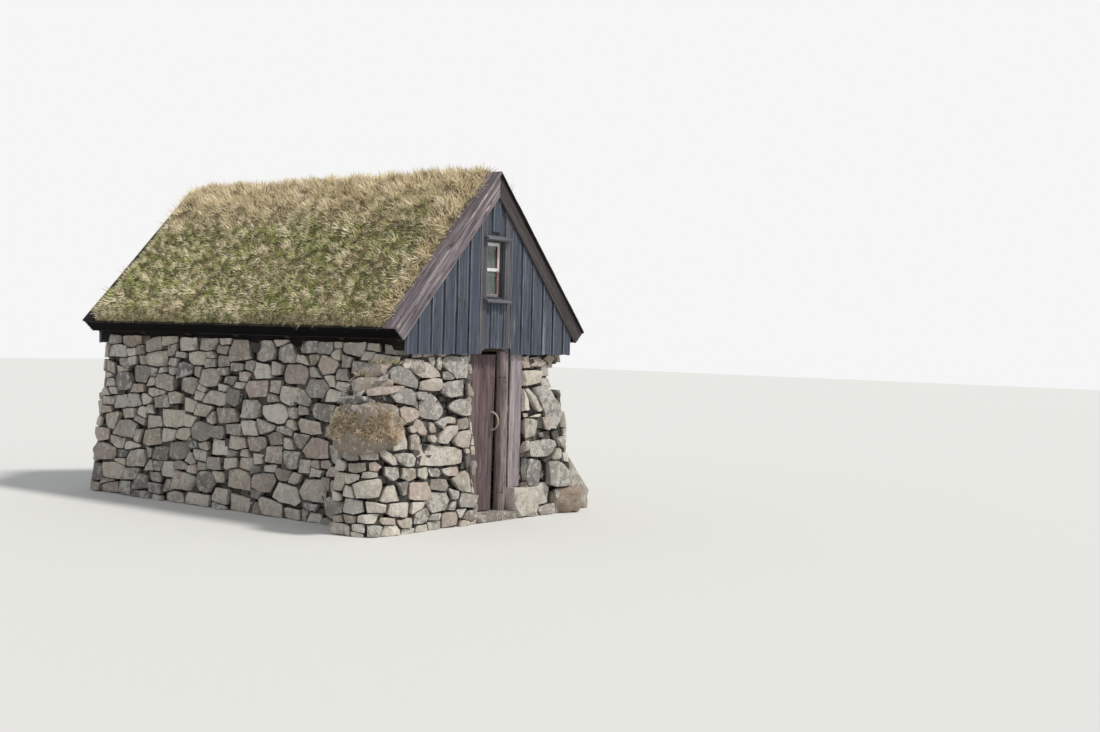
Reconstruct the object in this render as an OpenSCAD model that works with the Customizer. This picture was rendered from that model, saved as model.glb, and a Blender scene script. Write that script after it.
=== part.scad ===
/* [Roof] */
// Level distance from the ridge to the eave, along the top of the roof
half_span = 1600; // [1400:10:2000]
// Rise of the roof from the eave to the ridge
rise = 1740; // [1400:10:2100]
// Height of the eave's upper edge above the top of the walls
eave_lift = 240; // [220:5:320]
// Length of the roof along the ridge
roof_l = 5420; // [4200:10:7200]
// Thickness of the boards under the turf
deck_t = 25; // [20:1:32]
// Thickness of the turf where the verge boards hold it
turf_edge_t = 100; // [70:5:160]
// How far the turf rises above the verge boards between them
turf_crown = 80; // [0:5:110]
// Radius of the rounded turf along the ridge
ridge_r = 140; // [80:10:400]
// Length of the slope over which the turf thins out to the eave
turf_taper = 180; // [60:10:300]

/* [Rafters] */
// Number of rafters on each side
rafter_n = 7; // [3:1:9]
// Width of a rafter along the ridge
rafter_w = 75; // [50:5:100]
// Depth of a rafter, square to the slope
rafter_d = 100; // [80:5:140]
// Height of the notch that seats a rafter on its plate
heel = 60; // [30:5:80]
// Width of the plates along the side walls
plate_w = 120; // [80:5:180]

/* [Verge] */
// Thickness of the verge boards and the eave boards
verge_t = 25; // [18:1:32]
// Depth of the verge, from the top of the top board down
verge_d = 190; // [175:5:240]
// Width of the top board that lies on the turf's edge
top_board_w = 200; // [120:5:260]
// How far the top board's edge stands in front of the barge board
top_board_lip = 20; // [0:2:40]

/* [Gable boarding] */
// Thickness of a gable board
board_t = 22; // [16:1:28]
// Width of an outer gable board
board_w = 156; // [100:2:200]
// Distance from one outer board to the next
board_pitch = 196; // [150:2:240]
// Half of the width of the boarding
boarding_half = 1385; // [1200:5:1800]
// How far the boarding hangs down over the head of the wall
boarding_lap = 30; // [10:5:80]
// How far the boarding is cut up over the door
notch_h = 65; // [0:5:90]
// Left and right ends of the cut over the door
notch_x = [-220, 280];

/* [Walls] */
// Height of the stone walls
wall_h = 1870; // [1600:10:2300]
// Thickness of the stone walls at the top
wall_t = 650; // [450:10:800]
// How far the wall heads stand in from the roof's edge at the sides
side_inset = 170; // [150:5:260]
// How far the wall heads stand in from the roof's edge at the gables
gable_inset = 100; // [95:1:140]
// How far the outside of a wall leans in from its foot to its top
batter = 150; // [0:5:250]
// Radius of the rounded outer corners, at the foot
corner_r = 320; // [150:10:450]
// Height of the row of stones that stands outside each plate
kerb_h = 75; // [0:5:80]
// How far the stones at the foot reach from the middle, on either side
reach = 2000; // [1800:10:2400]

/* [Wing wall and boulder] */
// Height of the wing wall where it meets the house
wing_h = 1760; // [1300:10:1850]
// Height of the wing wall at its outer end
wing_end_h = 1250; // [800:10:1300]
// Length of the wing wall, from front to back
wing_l = 560; // [400:10:900]
// Radius of the boulder at the right corner
boulder_r = 330; // [250:5:400]
// Height of the boulder
boulder_h = 740; // [400:10:900]

/* [Doorway] */
// Left and right sides of the doorway through the stone
doorway_x = [-315, 550];
// Height of the threshold stone
threshold_h = 85; // [40:5:160]
// Length of the threshold stone through the wall
threshold_l = 500; // [300:10:600]
// Height of the stone under the side board
foot_stone_h = 340; // [150:10:500]
// Thickness of the foot stone, from front to back
foot_stone_l = 270; // [150:10:300]
// How far the door's face lies behind the roof's front edge
door_in = 190; // [160:5:260]
// Width of the door's post
post_w = 60; // [40:5:90]
// Depth of the door's post
post_d = 80; // [50:5:120]
// Place of the round log along the front
log_x = 283; // [220:1:310]
// Radius of the log at its foot
log_r = 75; // [55:1:90]
// Radius of the log at its top
log_top_r = 72; // [50:1:90]
// Thickness of the board beside the log
side_board_t = 25; // [18:1:32]

/* [Door] */
// Clearance between the door and its post
door_gap = 5; // [5:1:12]
// Clearance between the door and the log, at the top
log_gap = 15; // [10:1:30]
// How much narrower the door is at its foot
door_taper = 35; // [0:5:60]
// Thickness of the door's planks
plank_t = 30; // [22:1:40]
// Places of the joints between the planks, from the door's left edge
plank_joints = [141, 324];
// Clearance under the door
door_low_gap = 15; // [10:5:60]
// Clearance between the door's top and the wall's head
door_high_gap = 38; // [35:1:80]
// Thickness of the two ledges on the door's back
ledge_t = 28; // [20:1:40]
// Height of a ledge
ledge_h = 120; // [80:5:160]
// Height of the middle of the handle
handle_z = 1090; // [900:10:1200]
// Half of the height of the handle, to the middle of its bar
handle_r = 100; // [70:5:120]
// Radius of the handle's bar
handle_bar_r = 11; // [8:1:14]
// How far the middle of the handle stands in from the door's edge
handle_in = 42; // [35:1:80]

/* [Door irons] */
// Radius of the hinge pins
pin_r = 3; // [2.5:0.5:5]
// Running clearance round the hinge pins
pin_gap = 0.3; // [0.2:0.05:0.5]
// Wall of the hinge knuckles round the pins
knuckle_wall = 3.5; // [3:0.5:5]
// Height of a hinge
hinge_h = 90; // [60:5:120]
// Width of a hinge flap
flap_w = 50; // [30:5:55]
// Thickness of a hinge flap
flap_t = 3; // [2:0.5:4]
// Heights of the two hinges
hinge_z = [420, 1500];
// Heights of the two latch wires
latch_z = [295, 1580];
// Radius of the latch wires
wire_r = 2.5; // [2:0.5:4]
// Radius of the loop at the end of a latch wire, to the middle of the wire
loop_r = 9; // [8:0.5:12]
// Radius of the nails that the loops hang on
nail_r = 3; // [2:0.5:4]

/* [Window] */
// Half of the width of the window opening
window_half = 155; // [120:5:200]
// Height of the window's sill above the head of the wall
window_lift = 580; // [500:5:700]
// Height of the window opening
window_h = 640; // [450:10:700]
// Width of the casing boards beside the window
casing_w = 102; // [80:2:130]
// Thickness of the window's lining
lining_t = 18; // [14:1:24]
// Depth of the window's lining
lining_d = 98; // [70:2:130]
// Thickness of the sash
sash_t = 35; // [28:1:45]
// Width of the sash's bars
sash_bar = 38; // [30:1:50]
// How far the sash stands back in its lining
sash_in = 48; // [10:1:55]
// How far the sill and the head stand out in front of the boards
window_proud = 60; // [40:5:90]
// Thickness of the sill
sill_t = 50; // [35:1:60]

/* [Hidden] */
$fn = 48;

// The roof's slope, and the height of its highest edge
pitch = atan(rise / half_span);
slope_l = norm([half_span, rise]);
eave_z = wall_h + eave_lift;
apex_z = eave_z + rise;

// Clearance where the ends and edges of sloping pieces meet others
seat_gap = 0.3;
layers_end = slope_l - verge_t - seat_gap;

// Depths below the top of the roof, square to the slope
deck_top = verge_t + turf_edge_t;
deck_under = deck_top + deck_t;
rafter_under = deck_under + rafter_d;

// The front layers, as distances behind the roof's front edge
barge_face = top_board_lip;
boarding_face = barge_face + verge_t;
boarding_mid = boarding_face + board_t;
boarding_back = boarding_mid + board_t;
front = -roof_l / 2;

// The masonry's outer sides at the foot and at the top, from the middle
top_side = half_span - side_inset;
top_end = roof_l / 2 - gable_inset;
foot_side = top_side + batter;
foot_end = top_end + batter;
room_side = top_side - wall_t;
room_end = top_end - wall_t;
plate_out = boarding_half - 10;
plate_in = plate_out - plate_w;
plate_top = under_z(plate_out, rafter_under) + heel;
boarding_low = wall_h - boarding_lap;
kerb_z = wall_h + kerb_h;

// The doorway and the door
log_y = front + boarding_back + log_r + 1;
log_left = log_x - log_r;
post_right = doorway_x[0] + post_w;
leaf_left = post_right + door_gap;
leaf_right = log_left - log_gap;
leaf_low = threshold_h + door_low_gap;
leaf_top = wall_h - door_high_gap;
leaf_face = front + door_in;
handle_x = leaf_right - handle_in;
hinge_x = (post_right + leaf_left) / 2;
knuckle_r = pin_r + pin_gap + knuckle_wall;
knuckle_h = hinge_h / 3;
hinge_y = leaf_face - knuckle_r - 1;
beam_h = 120;
beam_d = door_in + post_d + 9 - boarding_back;

// The window
window_low = wall_h + window_lift;
window_top = window_low + window_h;
casing_half = window_half + casing_w;
lining_y = front + boarding_mid;
sash_half = window_half - lining_t;
sash_low = window_low + lining_t;
sash_top = window_top - lining_t;
sash_y = lining_y + sash_in;

// A point on the right-hand slope: a distance down from the ridge, and a depth below the top
function slope_pt(s, depth) =
    [s * cos(pitch) - depth * sin(pitch), apex_z - s * sin(pitch) - depth * cos(pitch)];

// Height at a distance from the middle, on the plane that lies a depth below the top of the roof
function under_z(x, depth) = apex_z - abs(x) * tan(pitch) - depth / cos(pitch);

// Draws its child at y0 to y1, from an outline in X and Z
module across(y0, y1) {
    translate([0, y1, 0])
        rotate([90, 0, 0])
            linear_extrude(height = y1 - y0)
                children();
}

// Draws its child from x0 to x1, from an outline in Y and Z
module along(x0, x1) {
    translate([x0, 0, 0])
        rotate([90, 0, 90])
            linear_extrude(height = x1 - x0)
                children();
}

// A block between two opposite corners
module block(low, high) {
    translate(low)
        cube(high - low);
}

// Draws its child on the right-hand side, or its mirror image on the left
module on_side(side) {
    mirror([side < 0 ? 1 : 0, 0, 0])
        children();
}

// Draws its child at the front, or its mirror image at the back
module at_end(end) {
    mirror([0, end > 0 ? 1 : 0, 0])
        children();
}

// The outline of a layer of the right-hand slope, cut square at the eave and upright at the ridge
module slope_outline(depth0, depth1, s_end) {
    polygon([
        [0, under_z(0, depth0)],
        slope_pt(s_end, depth0),
        slope_pt(s_end, depth1),
        [0, under_z(0, depth1)]
    ]);
}

// A block whose four sides lean inwards, with rounded corners, centred on the house
module battered_block(side, end) {
    linear_extrude(height = kerb_z, slices = 1, scale = [(side - batter) / side, (end - batter) / end])
        hull()
            for (x = [-1, 1], y = [-1, 1])
                translate([x * (side - corner_r), y * (end - corner_r)])
                    circle(corner_r, $fn = 32);
}

// The ring of masonry without its doorway. Outside the plates, a row of stones rises
// from the head of the wall to the eave.
module masonry() {
    kerb_in = plate_out + 5;
    difference() {
        battered_block(foot_side, foot_end);
        block([-room_side, -room_end, -1], [room_side, room_end, kerb_z + 1]);
        block([-kerb_in, -foot_end, wall_h], [kerb_in, foot_end, kerb_z + 1]);
    }
}

module front_wall_left() {
    color("dimgray")
        intersection() {
            masonry();
            block([-foot_side - 1, -foot_end - 1, -1], [doorway_x[0], -room_end, kerb_z + 1]);
        }
}

// The right pier carries a lower stone at its foot that narrows the doorway
module front_wall_right() {
    color("dimgray") {
        intersection() {
            masonry();
            block([doorway_x[1], -foot_end - 1, -1], [foot_side + 1, -room_end, kerb_z + 1]);
        }
        block([log_x + log_r + door_gap, 30 - foot_end, 0],
              [doorway_x[1], 30 - foot_end + foot_stone_l, foot_stone_h]);
    }
}

module side_wall() {
    intersection() {
        masonry();
        block([room_side, -room_end, -1], [foot_side + 1, room_end, kerb_z + 1]);
    }
}

module left_wall() {
    color("dimgray")
        on_side(-1)
            side_wall();
}

module right_wall() {
    color("dimgray")
        on_side(1)
            side_wall();
}

module back_wall() {
    color("dimgray")
        intersection() {
            masonry();
            block([-foot_side - 1, room_end, -1], [foot_side + 1, foot_end + 1, kerb_z + 1]);
        }
}

// The short wall at the left of the front, whose top falls away from the house
module wing_wall() {
    wing_in = foot_side - 180;
    color("gray")
        difference() {
            intersection() {
                battered_block(reach, foot_end);
                across(-foot_end, -foot_end + wing_l)
                    polygon([
                        [-reach, 0],
                        [-reach, wing_end_h],
                        [-foot_side - 230, (wing_h + wing_end_h) / 2 + 60],
                        [-foot_side + 60, wing_h],
                        [-wing_in, wing_h],
                        [-wing_in, 0]
                    ]);
            }
            masonry();
        }
}

// The boulder at the foot of the right corner
module corner_boulder() {
    boulder_x = reach - boulder_r;
    boulder_y = boulder_r + 15 - foot_end;
    color("darkgray")
        difference() {
            hull() {
                translate([boulder_x, boulder_y, 0])
                    cylinder(h = boulder_h * 0.2, r = boulder_r, $fn = 11);
                translate([boulder_x - boulder_r * 0.1, boulder_y, boulder_h * 0.5])
                    cylinder(h = boulder_h * 0.1, r = boulder_r * 0.9, $fn = 9);
                translate([boulder_x - boulder_r * 0.25, boulder_y + boulder_r * 0.1, 0])
                    cylinder(h = boulder_h, r = boulder_r * 0.5, $fn = 7);
            }
            masonry();
        }
}

module threshold_stone() {
    color("dimgray")
        block([doorway_x[0], 30 - foot_end, 0],
              [log_x + log_r + door_gap, 30 - foot_end + threshold_l, threshold_h]);
}

module plate(side) {
    color("saddlebrown")
        on_side(side)
            block([plate_in, front + boarding_back, wall_h],
                  [plate_out, -front - boarding_back, plate_top]);
}

// One rafter's outline, with the notch that seats it on the plate, cut clear of the stones
// outside the plate
module rafter_outline() {
    difference() {
        slope_outline(deck_under + seat_gap, rafter_under, layers_end);
        translate([plate_in, wall_h])
            square([plate_w, plate_top - wall_h]);
        translate([plate_out - 1, wall_h])
            square([reach, kerb_h + seat_gap]);
    }
}

// The rafters of one slope, from the front gable to the back one
module rafters(side) {
    first = front + boarding_back;
    spacing = (-2 * first - rafter_w) / (rafter_n - 1);
    color("peru")
        on_side(side)
            for (i = [0 : rafter_n - 1])
                across(first + i * spacing, first + i * spacing + rafter_w)
                    rafter_outline();
}

module roof_boards(side) {
    color("burlywood")
        on_side(side)
            across(front + boarding_face, -front - boarding_face)
                slope_outline(deck_top, deck_under, layers_end);
}

// The turf's outline between the verges: it rises above them, rounds off at the ridge
// and thins out to the eave
module crown_outline() {
    centre_z = under_z(0, -turf_crown) - ridge_r / cos(pitch);
    steps = 6;
    polygon(concat(
        [[0, under_z(0, deck_top)]],
        [for (i = [0 : steps])
            [ridge_r * sin(pitch * i / steps), centre_z + ridge_r * cos(pitch * i / steps)]],
        [slope_pt(layers_end - turf_taper, -turf_crown), slope_pt(layers_end, verge_t)],
        [slope_pt(layers_end, deck_top)]
    ));
}

module turf(side) {
    color("olivedrab")
        on_side(side) {
            across(front + boarding_face, -front - boarding_face)
                slope_outline(verge_t, deck_top, layers_end);
            across(front + top_board_w, -front - top_board_w)
                crown_outline();
        }
}

module eave_board(side) {
    color("dimgray")
        on_side(side)
            across(front + boarding_face, -front - boarding_face)
                polygon([
                    slope_pt(slope_l - verge_t, verge_t),
                    slope_pt(slope_l, verge_t),
                    slope_pt(slope_l, verge_d),
                    slope_pt(slope_l - verge_t, verge_d)
                ]);
}

// The upright board on the face of a gable
module barge(end, side) {
    color("gray")
        at_end(end)
            on_side(side)
                across(front + barge_face, front + boarding_face)
                    slope_outline(verge_t, verge_d, slope_l);
}

// The board that lies on the edge of the turf
module top_board(end, side) {
    color("darkgray")
        at_end(end)
            on_side(side)
                across(front, front + top_board_w)
                    slope_outline(0, verge_t, slope_l);
}

// The beam that the boarding stands on; at the front it spans the doorway
module gable_beam(end) {
    color("saddlebrown")
        at_end(end)
            block([-plate_in, front + boarding_back, wall_h],
                  [plate_in, front + boarding_back + beam_d, wall_h + beam_h]);
}

// The gable's outline between x0 and x1, from the foot of the boarding to the roof boards
module gable_outline(x0, x1, low) {
    intersection() {
        translate([x0, low])
            square([x1 - x0, apex_z - low]);
        polygon([
            [-boarding_half, boarding_low],
            [boarding_half, boarding_low],
            [boarding_half, under_z(boarding_half, deck_under + seat_gap)],
            [0, under_z(0, deck_under + seat_gap)],
            [-boarding_half, under_z(boarding_half, deck_under + seat_gap)]
        ]);
    }
}

// The part of the boarding that is cut away over the door
module door_notch() {
    translate([notch_x[0], boarding_low - 1])
        square([notch_x[1] - notch_x[0], notch_h + 1]);
}

// Boarding from x0 to x1: inner boards edge to edge, and outer boards over their joints
module boarding(x0, x1, board_centres, outer_w) {
    across(front + boarding_mid, front + boarding_back)
        difference() {
            gable_outline(x0, x1, boarding_low);
            door_notch();
        }
    for (centre = board_centres)
        across(front + boarding_face, front + boarding_mid)
            difference() {
                gable_outline(max(x0, centre - outer_w / 2), min(x1, centre + outer_w / 2), boarding_low);
                door_notch();
            }
}

// Places of the outer boards on the right of the window's casing
first_centre = casing_half + board_pitch / 2 - 6;
side_centres = [for (x = [first_centre : board_pitch : boarding_half - board_w / 3]) x];

module front_gable_left() {
    color("slategray")
        boarding(-boarding_half, -window_half, [for (c = side_centres) -c], board_w);
}

module front_gable_right() {
    color("slategray")
        boarding(window_half, boarding_half, side_centres, board_w);
}

// The boarding below the sill and above the head of the window
module front_gable_middle() {
    color("slategray")
        difference() {
            boarding(-window_half, window_half, [0], window_half * 0.8);
            block([-window_half - 1, front, window_low - sill_t], [window_half + 1, 0, window_top]);
        }
}

module back_gable_boards() {
    middle = [for (i = [-1 : 1]) i * board_pitch * 0.95];
    color("slategray")
        at_end(1) {
            across(front + boarding_mid, front + boarding_back)
                gable_outline(-boarding_half, boarding_half, boarding_low);
            for (centre = concat([for (c = side_centres) -c], middle, side_centres))
                across(front + boarding_face, front + boarding_mid)
                    gable_outline(max(-boarding_half, centre - board_w / 2),
                                  min(boarding_half, centre + board_w / 2), boarding_low);
        }
}

// The two long boards beside the window
module window_casings() {
    color("lightslategray")
        for (x0 = [-casing_half, window_half])
            across(front + boarding_face, front + boarding_mid)
                difference() {
                    gable_outline(x0, x0 + casing_w, boarding_low);
                    door_notch();
                }
}

// The drip moulding over the window
module window_head() {
    face = front + boarding_face;
    head_h = 50;
    color("slategray")
        along(-window_half - casing_w / 2, window_half + casing_w / 2)
            polygon([
                [face, window_top - 5],
                [face, window_top + head_h],
                [face - window_proud * 0.45, window_top + head_h - 10],
                [face - window_proud, window_top + 22],
                [face - window_proud, window_top + 8],
                [face - window_proud * 0.6, window_top + 8],
                [face - window_proud * 0.45, window_top - 5]
            ]);
}

// The sill slopes to the front and has a horn in front of each casing
module window_sill() {
    face = front + boarding_face;
    lip = face - window_proud;
    back = lining_y + lining_d;
    color("slategray")
        intersection() {
            along(-window_half - casing_w / 2, window_half + casing_w / 2)
                polygon([
                    [lip, window_low - sill_t + 4],
                    [lip, window_low - 16],
                    [lining_y, window_low],
                    [back, window_low],
                    [back, window_low - sill_t],
                    [lip + 14, window_low - sill_t]
                ]);
            union() {
                block([-reach, lip - 1, 0], [reach, face, apex_z]);
                block([-window_half, lip - 1, 0], [window_half, back + 1, apex_z]);
            }
        }
}

module window_lining() {
    color("lightslategray")
        across(lining_y, lining_y + lining_d)
            difference() {
                translate([-window_half, window_low])
                    square([2 * window_half, window_h]);
                translate([-sash_half, sash_low])
                    square([2 * sash_half, sash_top - sash_low]);
            }
}

// The two panes, as places and sizes of their outlines
pane_h = (sash_top - sash_low - 3 * sash_bar) / 2;
module pane_outlines() {
    for (i = [0, 1])
        translate([-sash_half + sash_bar, sash_low + sash_bar + i * (pane_h + sash_bar)])
            square([2 * (sash_half - sash_bar), pane_h]);
}

module window_sash() {
    color("white")
        across(sash_y, sash_y + sash_t)
            difference() {
                translate([-sash_half, sash_low])
                    square([2 * sash_half, sash_top - sash_low]);
                pane_outlines();
            }
}

module window_glass() {
    glass_t = 4;
    color("lightblue")
        across(sash_y + (sash_t - glass_t) / 2, sash_y + (sash_t + glass_t) / 2)
            pane_outlines();
}

module door_post() {
    color("rosybrown")
        block([doorway_x[0], leaf_face, threshold_h], [post_right, leaf_face + post_d, wall_h]);
}

// The round log that the door closes against
module log_shape() {
    translate([log_x, log_y, threshold_h])
        cylinder(h = wall_h - threshold_h, r1 = log_r, r2 = log_top_r);
}

module door_log() {
    color("rosybrown")
        log_shape();
}

module door_side_board() {
    board_face = front + boarding_back + 6;
    color("rosybrown")
        block([log_x + log_top_r, board_face, foot_stone_h],
              [doorway_x[1], board_face + side_board_t, wall_h]);
}

// The planks, with a groove at each joint, and the ledges that hold them
module door_leaf() {
    groove = 5;
    ledge_in = 50;
    color("rosybrown") {
        difference() {
            across(leaf_face, leaf_face + plank_t)
                polygon([
                    [leaf_left, leaf_low],
                    [leaf_right - door_taper, leaf_low],
                    [leaf_right, leaf_top],
                    [leaf_left, leaf_top]
                ]);
            for (joint = plank_joints)
                block([leaf_left + joint - groove / 2, leaf_face - 1, leaf_low - 1],
                      [leaf_left + joint + groove / 2, leaf_face + groove, leaf_top + 1]);
        }
        for (z = hinge_z)
            block([leaf_left + ledge_in, leaf_face + plank_t, z - ledge_h / 2],
                  [leaf_right - door_taper - ledge_in / 2, leaf_face + plank_t + ledge_t, z + ledge_h / 2]);
    }
}

// A bent bar that stands out from the door
module door_handle() {
    color("wheat")
        intersection() {
            translate([handle_x, leaf_face + handle_bar_r / 2, handle_z])
                rotate([0, 90, 0])
                    rotate_extrude()
                        translate([handle_r, 0])
                            circle(handle_bar_r);
            block([handle_x - 50, leaf_face - 200, 0], [handle_x + 50, leaf_face, wall_h]);
        }
}

// A round rod from one point to another
module rod(from, to, r) {
    d = to - from;
    translate(from)
        rotate([0, acos(d[2] / norm(d)), atan2(d[1], d[0])])
            cylinder(h = norm(d), r = r, $fn = 24);
}

// A round piece on the hinge's line, between two heights
module on_hinge_line(low, high, r) {
    translate([hinge_x, hinge_y, low])
        cylinder(h = high - low, r = r);
}

// A hinge flap on the face of the door or of its post
module flap(x0, x1, z) {
    block([x0, leaf_face - flap_t, z - hinge_h / 2], [x1, leaf_face, z + hinge_h / 2]);
}

// The nail that a latch wire's loop hangs on, and the point where the wire leaves the door
nail_x = log_x - 50;
nail_tip_y = log_y - log_r - 12;
wire_x = leaf_right - 30 - door_taper;
wire_y = leaf_face - 18;

module loop(z) {
    translate([nail_x, nail_tip_y + 6, z])
        rotate([90, 0, 0])
            rotate_extrude()
                translate([loop_r, 0])
                    circle(wire_r, $fn = 24);
}

// The door's hinge flaps, each with a bored middle knuckle, and its two latch wires
module leaf_irons() {
    low = -knuckle_h / 2 + pin_gap;
    high = knuckle_h / 2 - pin_gap;
    color("dimgray") {
        for (z = hinge_z)
            difference() {
                union() {
                    flap(hinge_x + 2, hinge_x + flap_w, z);
                    on_hinge_line(z + low, z + high, knuckle_r);
                }
                on_hinge_line(z - hinge_h, z + low, knuckle_r + 1);
                on_hinge_line(z + high, z + hinge_h, knuckle_r + 1);
                on_hinge_line(z - hinge_h, z + hinge_h, pin_r + pin_gap);
            }
        for (z = latch_z) {
            rod([wire_x, leaf_face, z], [wire_x, wire_y, z], wire_r);
            translate([wire_x, wire_y, z])
                sphere(wire_r, $fn = 24);
            rod([wire_x, wire_y, z], [nail_x - loop_r, nail_tip_y + 6, z], wire_r);
            loop(z);
        }
    }
}

// The hinge flaps on the post with their pins, and the nails in the log
module frame_irons() {
    color("dimgray") {
        for (z = hinge_z) {
            difference() {
                union() {
                    flap(hinge_x - flap_w, hinge_x - 2, z);
                    on_hinge_line(z - hinge_h / 2, z + hinge_h / 2, knuckle_r);
                }
                on_hinge_line(z - knuckle_h / 2, z + knuckle_h / 2, knuckle_r + 1);
            }
            on_hinge_line(z - hinge_h / 2, z + hinge_h / 2, pin_r);
        }
        for (z = latch_z)
            difference() {
                rod([nail_x, nail_tip_y, z], [nail_x, log_y, z], nail_r);
                log_shape();
            }
    }
}

front_wall_left();
front_wall_right();
left_wall();
right_wall();
back_wall();
wing_wall();
corner_boulder();
threshold_stone();
plate(-1);  // plate_left
plate(1);  // plate_right
rafters(-1);  // rafters_left
rafters(1);  // rafters_right
roof_boards(-1);  // roof_boards_left
roof_boards(1);  // roof_boards_right
turf(-1);  // turf_left
turf(1);  // turf_right
eave_board(-1);  // eave_board_left
eave_board(1);  // eave_board_right
barge(-1, -1);  // front_barge_left
barge(-1, 1);  // front_barge_right
top_board(-1, -1);  // front_top_board_left
top_board(-1, 1);  // front_top_board_right
barge(1, -1);  // back_barge_left
barge(1, 1);  // back_barge_right
top_board(1, -1);  // back_top_board_left
top_board(1, 1);  // back_top_board_right
gable_beam(-1);  // front_gable_beam
gable_beam(1);  // back_gable_beam
front_gable_left();
front_gable_right();
front_gable_middle();
back_gable_boards();
window_casings();
window_head();
window_sill();
window_lining();
window_sash();
window_glass();
door_post();
door_log();
door_side_board();
door_leaf();
door_handle();
leaf_irons();
frame_irons();
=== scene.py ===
import math

import bmesh
import bpy
import numpy as np
from mathutils import Matrix, Vector, noise


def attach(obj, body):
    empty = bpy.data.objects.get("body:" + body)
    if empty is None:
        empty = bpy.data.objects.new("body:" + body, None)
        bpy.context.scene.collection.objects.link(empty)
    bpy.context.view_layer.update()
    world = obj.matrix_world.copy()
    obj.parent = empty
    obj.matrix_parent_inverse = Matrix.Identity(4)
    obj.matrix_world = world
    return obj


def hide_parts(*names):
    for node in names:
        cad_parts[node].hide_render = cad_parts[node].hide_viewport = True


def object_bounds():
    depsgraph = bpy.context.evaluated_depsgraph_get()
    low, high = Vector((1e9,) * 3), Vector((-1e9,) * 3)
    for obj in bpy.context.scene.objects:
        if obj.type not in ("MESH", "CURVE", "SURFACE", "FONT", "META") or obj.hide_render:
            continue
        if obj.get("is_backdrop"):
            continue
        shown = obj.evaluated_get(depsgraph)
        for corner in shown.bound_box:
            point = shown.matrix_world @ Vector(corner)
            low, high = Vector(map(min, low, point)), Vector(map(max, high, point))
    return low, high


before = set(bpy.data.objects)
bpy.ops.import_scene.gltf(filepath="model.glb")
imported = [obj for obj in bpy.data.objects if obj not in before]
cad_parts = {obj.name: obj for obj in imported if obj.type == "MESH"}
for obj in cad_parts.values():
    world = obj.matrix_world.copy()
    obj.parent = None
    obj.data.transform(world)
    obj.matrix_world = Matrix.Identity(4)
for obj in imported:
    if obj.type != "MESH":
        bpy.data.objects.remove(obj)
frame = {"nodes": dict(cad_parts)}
nodes = frame["nodes"]
cad_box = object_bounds()
scene = bpy.context.scene


# The camera stands to the left of the front gable, at the height of the eave, and looks
# level at the house. Place, turn and lens were fitted to the gable, the verges and the eave.
IMAGE_W = 1100
FOCAL_PX = 1400
CAMERA_AT = (-11.822, -12.600, 2.067)
YAW, PITCH, ROLL = (math.radians(a) for a in (52.238, -1.266, 1.423))
camera_data = bpy.data.cameras.new("camera")
camera_data.sensor_width = 36
camera_data.lens = camera_data.sensor_width * FOCAL_PX / IMAGE_W
camera = bpy.data.objects.new("camera", camera_data)
scene.collection.objects.link(camera)
scene.camera = camera
ahead = Vector((math.sin(YAW) * math.cos(PITCH), math.cos(YAW) * math.cos(PITCH), math.sin(PITCH)))
level = Vector((math.cos(YAW), -math.sin(YAW), 0))
upward = level.cross(ahead)
cam_x = level * math.cos(ROLL) + upward * math.sin(ROLL)
cam_y = upward * math.cos(ROLL) - level * math.sin(ROLL)
turned = Matrix((cam_x, cam_y, -ahead)).transposed().to_4x4()
camera.matrix_world = Matrix.Translation(CAMERA_AT) @ turned


# Light is plain and soft: an even pale sky, and one wide lamp at the front right, high up.
# Where the sky itself is seen, straight or in glass and iron, it is near white.
SUN_FROM = Vector((0.28, -0.68, 1.06))
SUN_WIDTH = math.radians(9)


class Wire:
    """An output of a node, which can be added, multiplied and so on as a number is."""

    def __init__(self, nodes, socket):
        self.nodes, self.socket = nodes, socket

    def __add__(self, other):
        return self.nodes.maths("ADD", self, other)

    def __sub__(self, other):
        return self.nodes.maths("SUBTRACT", self, other)

    def __rsub__(self, other):
        return self.nodes.maths("SUBTRACT", other, self)

    def __mul__(self, other):
        return self.nodes.maths("MULTIPLY", self, other)

    def __truediv__(self, other):
        return self.nodes.maths("DIVIDE", self, other)

    __radd__ = __add__
    __rmul__ = __mul__


class Nodes:
    """A tree of nodes, which is built a node at a time."""

    def __init__(self, tree):
        self.tree = tree

    def feed(self, socket, value):
        if isinstance(value, Wire):
            self.tree.links.new(value.socket, socket)
        elif socket.type == "RGBA" and len(value) == 3:
            socket.default_value = (*value, 1)
        else:
            socket.default_value = value

    def node(self, kind, settings=None, inputs=None, output=0):
        """A node of a type: its settings come first, then the values or wires of its sockets."""
        made = self.tree.nodes.new(kind)
        for name, value in (settings or {}).items():
            if name == "stops":
                ramp = made.color_ramp
                while len(ramp.elements) < len(value):
                    ramp.elements.new(0.5)
                for element, (position, colour) in zip(ramp.elements, value):
                    element.position = position
                    element.color = (*colour, 1)
            else:
                setattr(made, name, value)
        for name, value in (inputs or {}).items():
            self.feed(made.inputs[name], value)
        return Wire(self, made.outputs[output])

    def maths(self, operation, *values):
        spread = any(
            v.socket.type in ("VECTOR", "RGBA") if isinstance(v, Wire) else isinstance(v, tuple)
            for v in values
        )
        kind = "ShaderNodeVectorMath" if spread else "ShaderNodeMath"
        if spread:
            values = [v if isinstance(v, (Wire, tuple)) else (v, v, v) for v in values]
        return self.node(kind, {"operation": operation}, dict(enumerate(values)))


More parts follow.
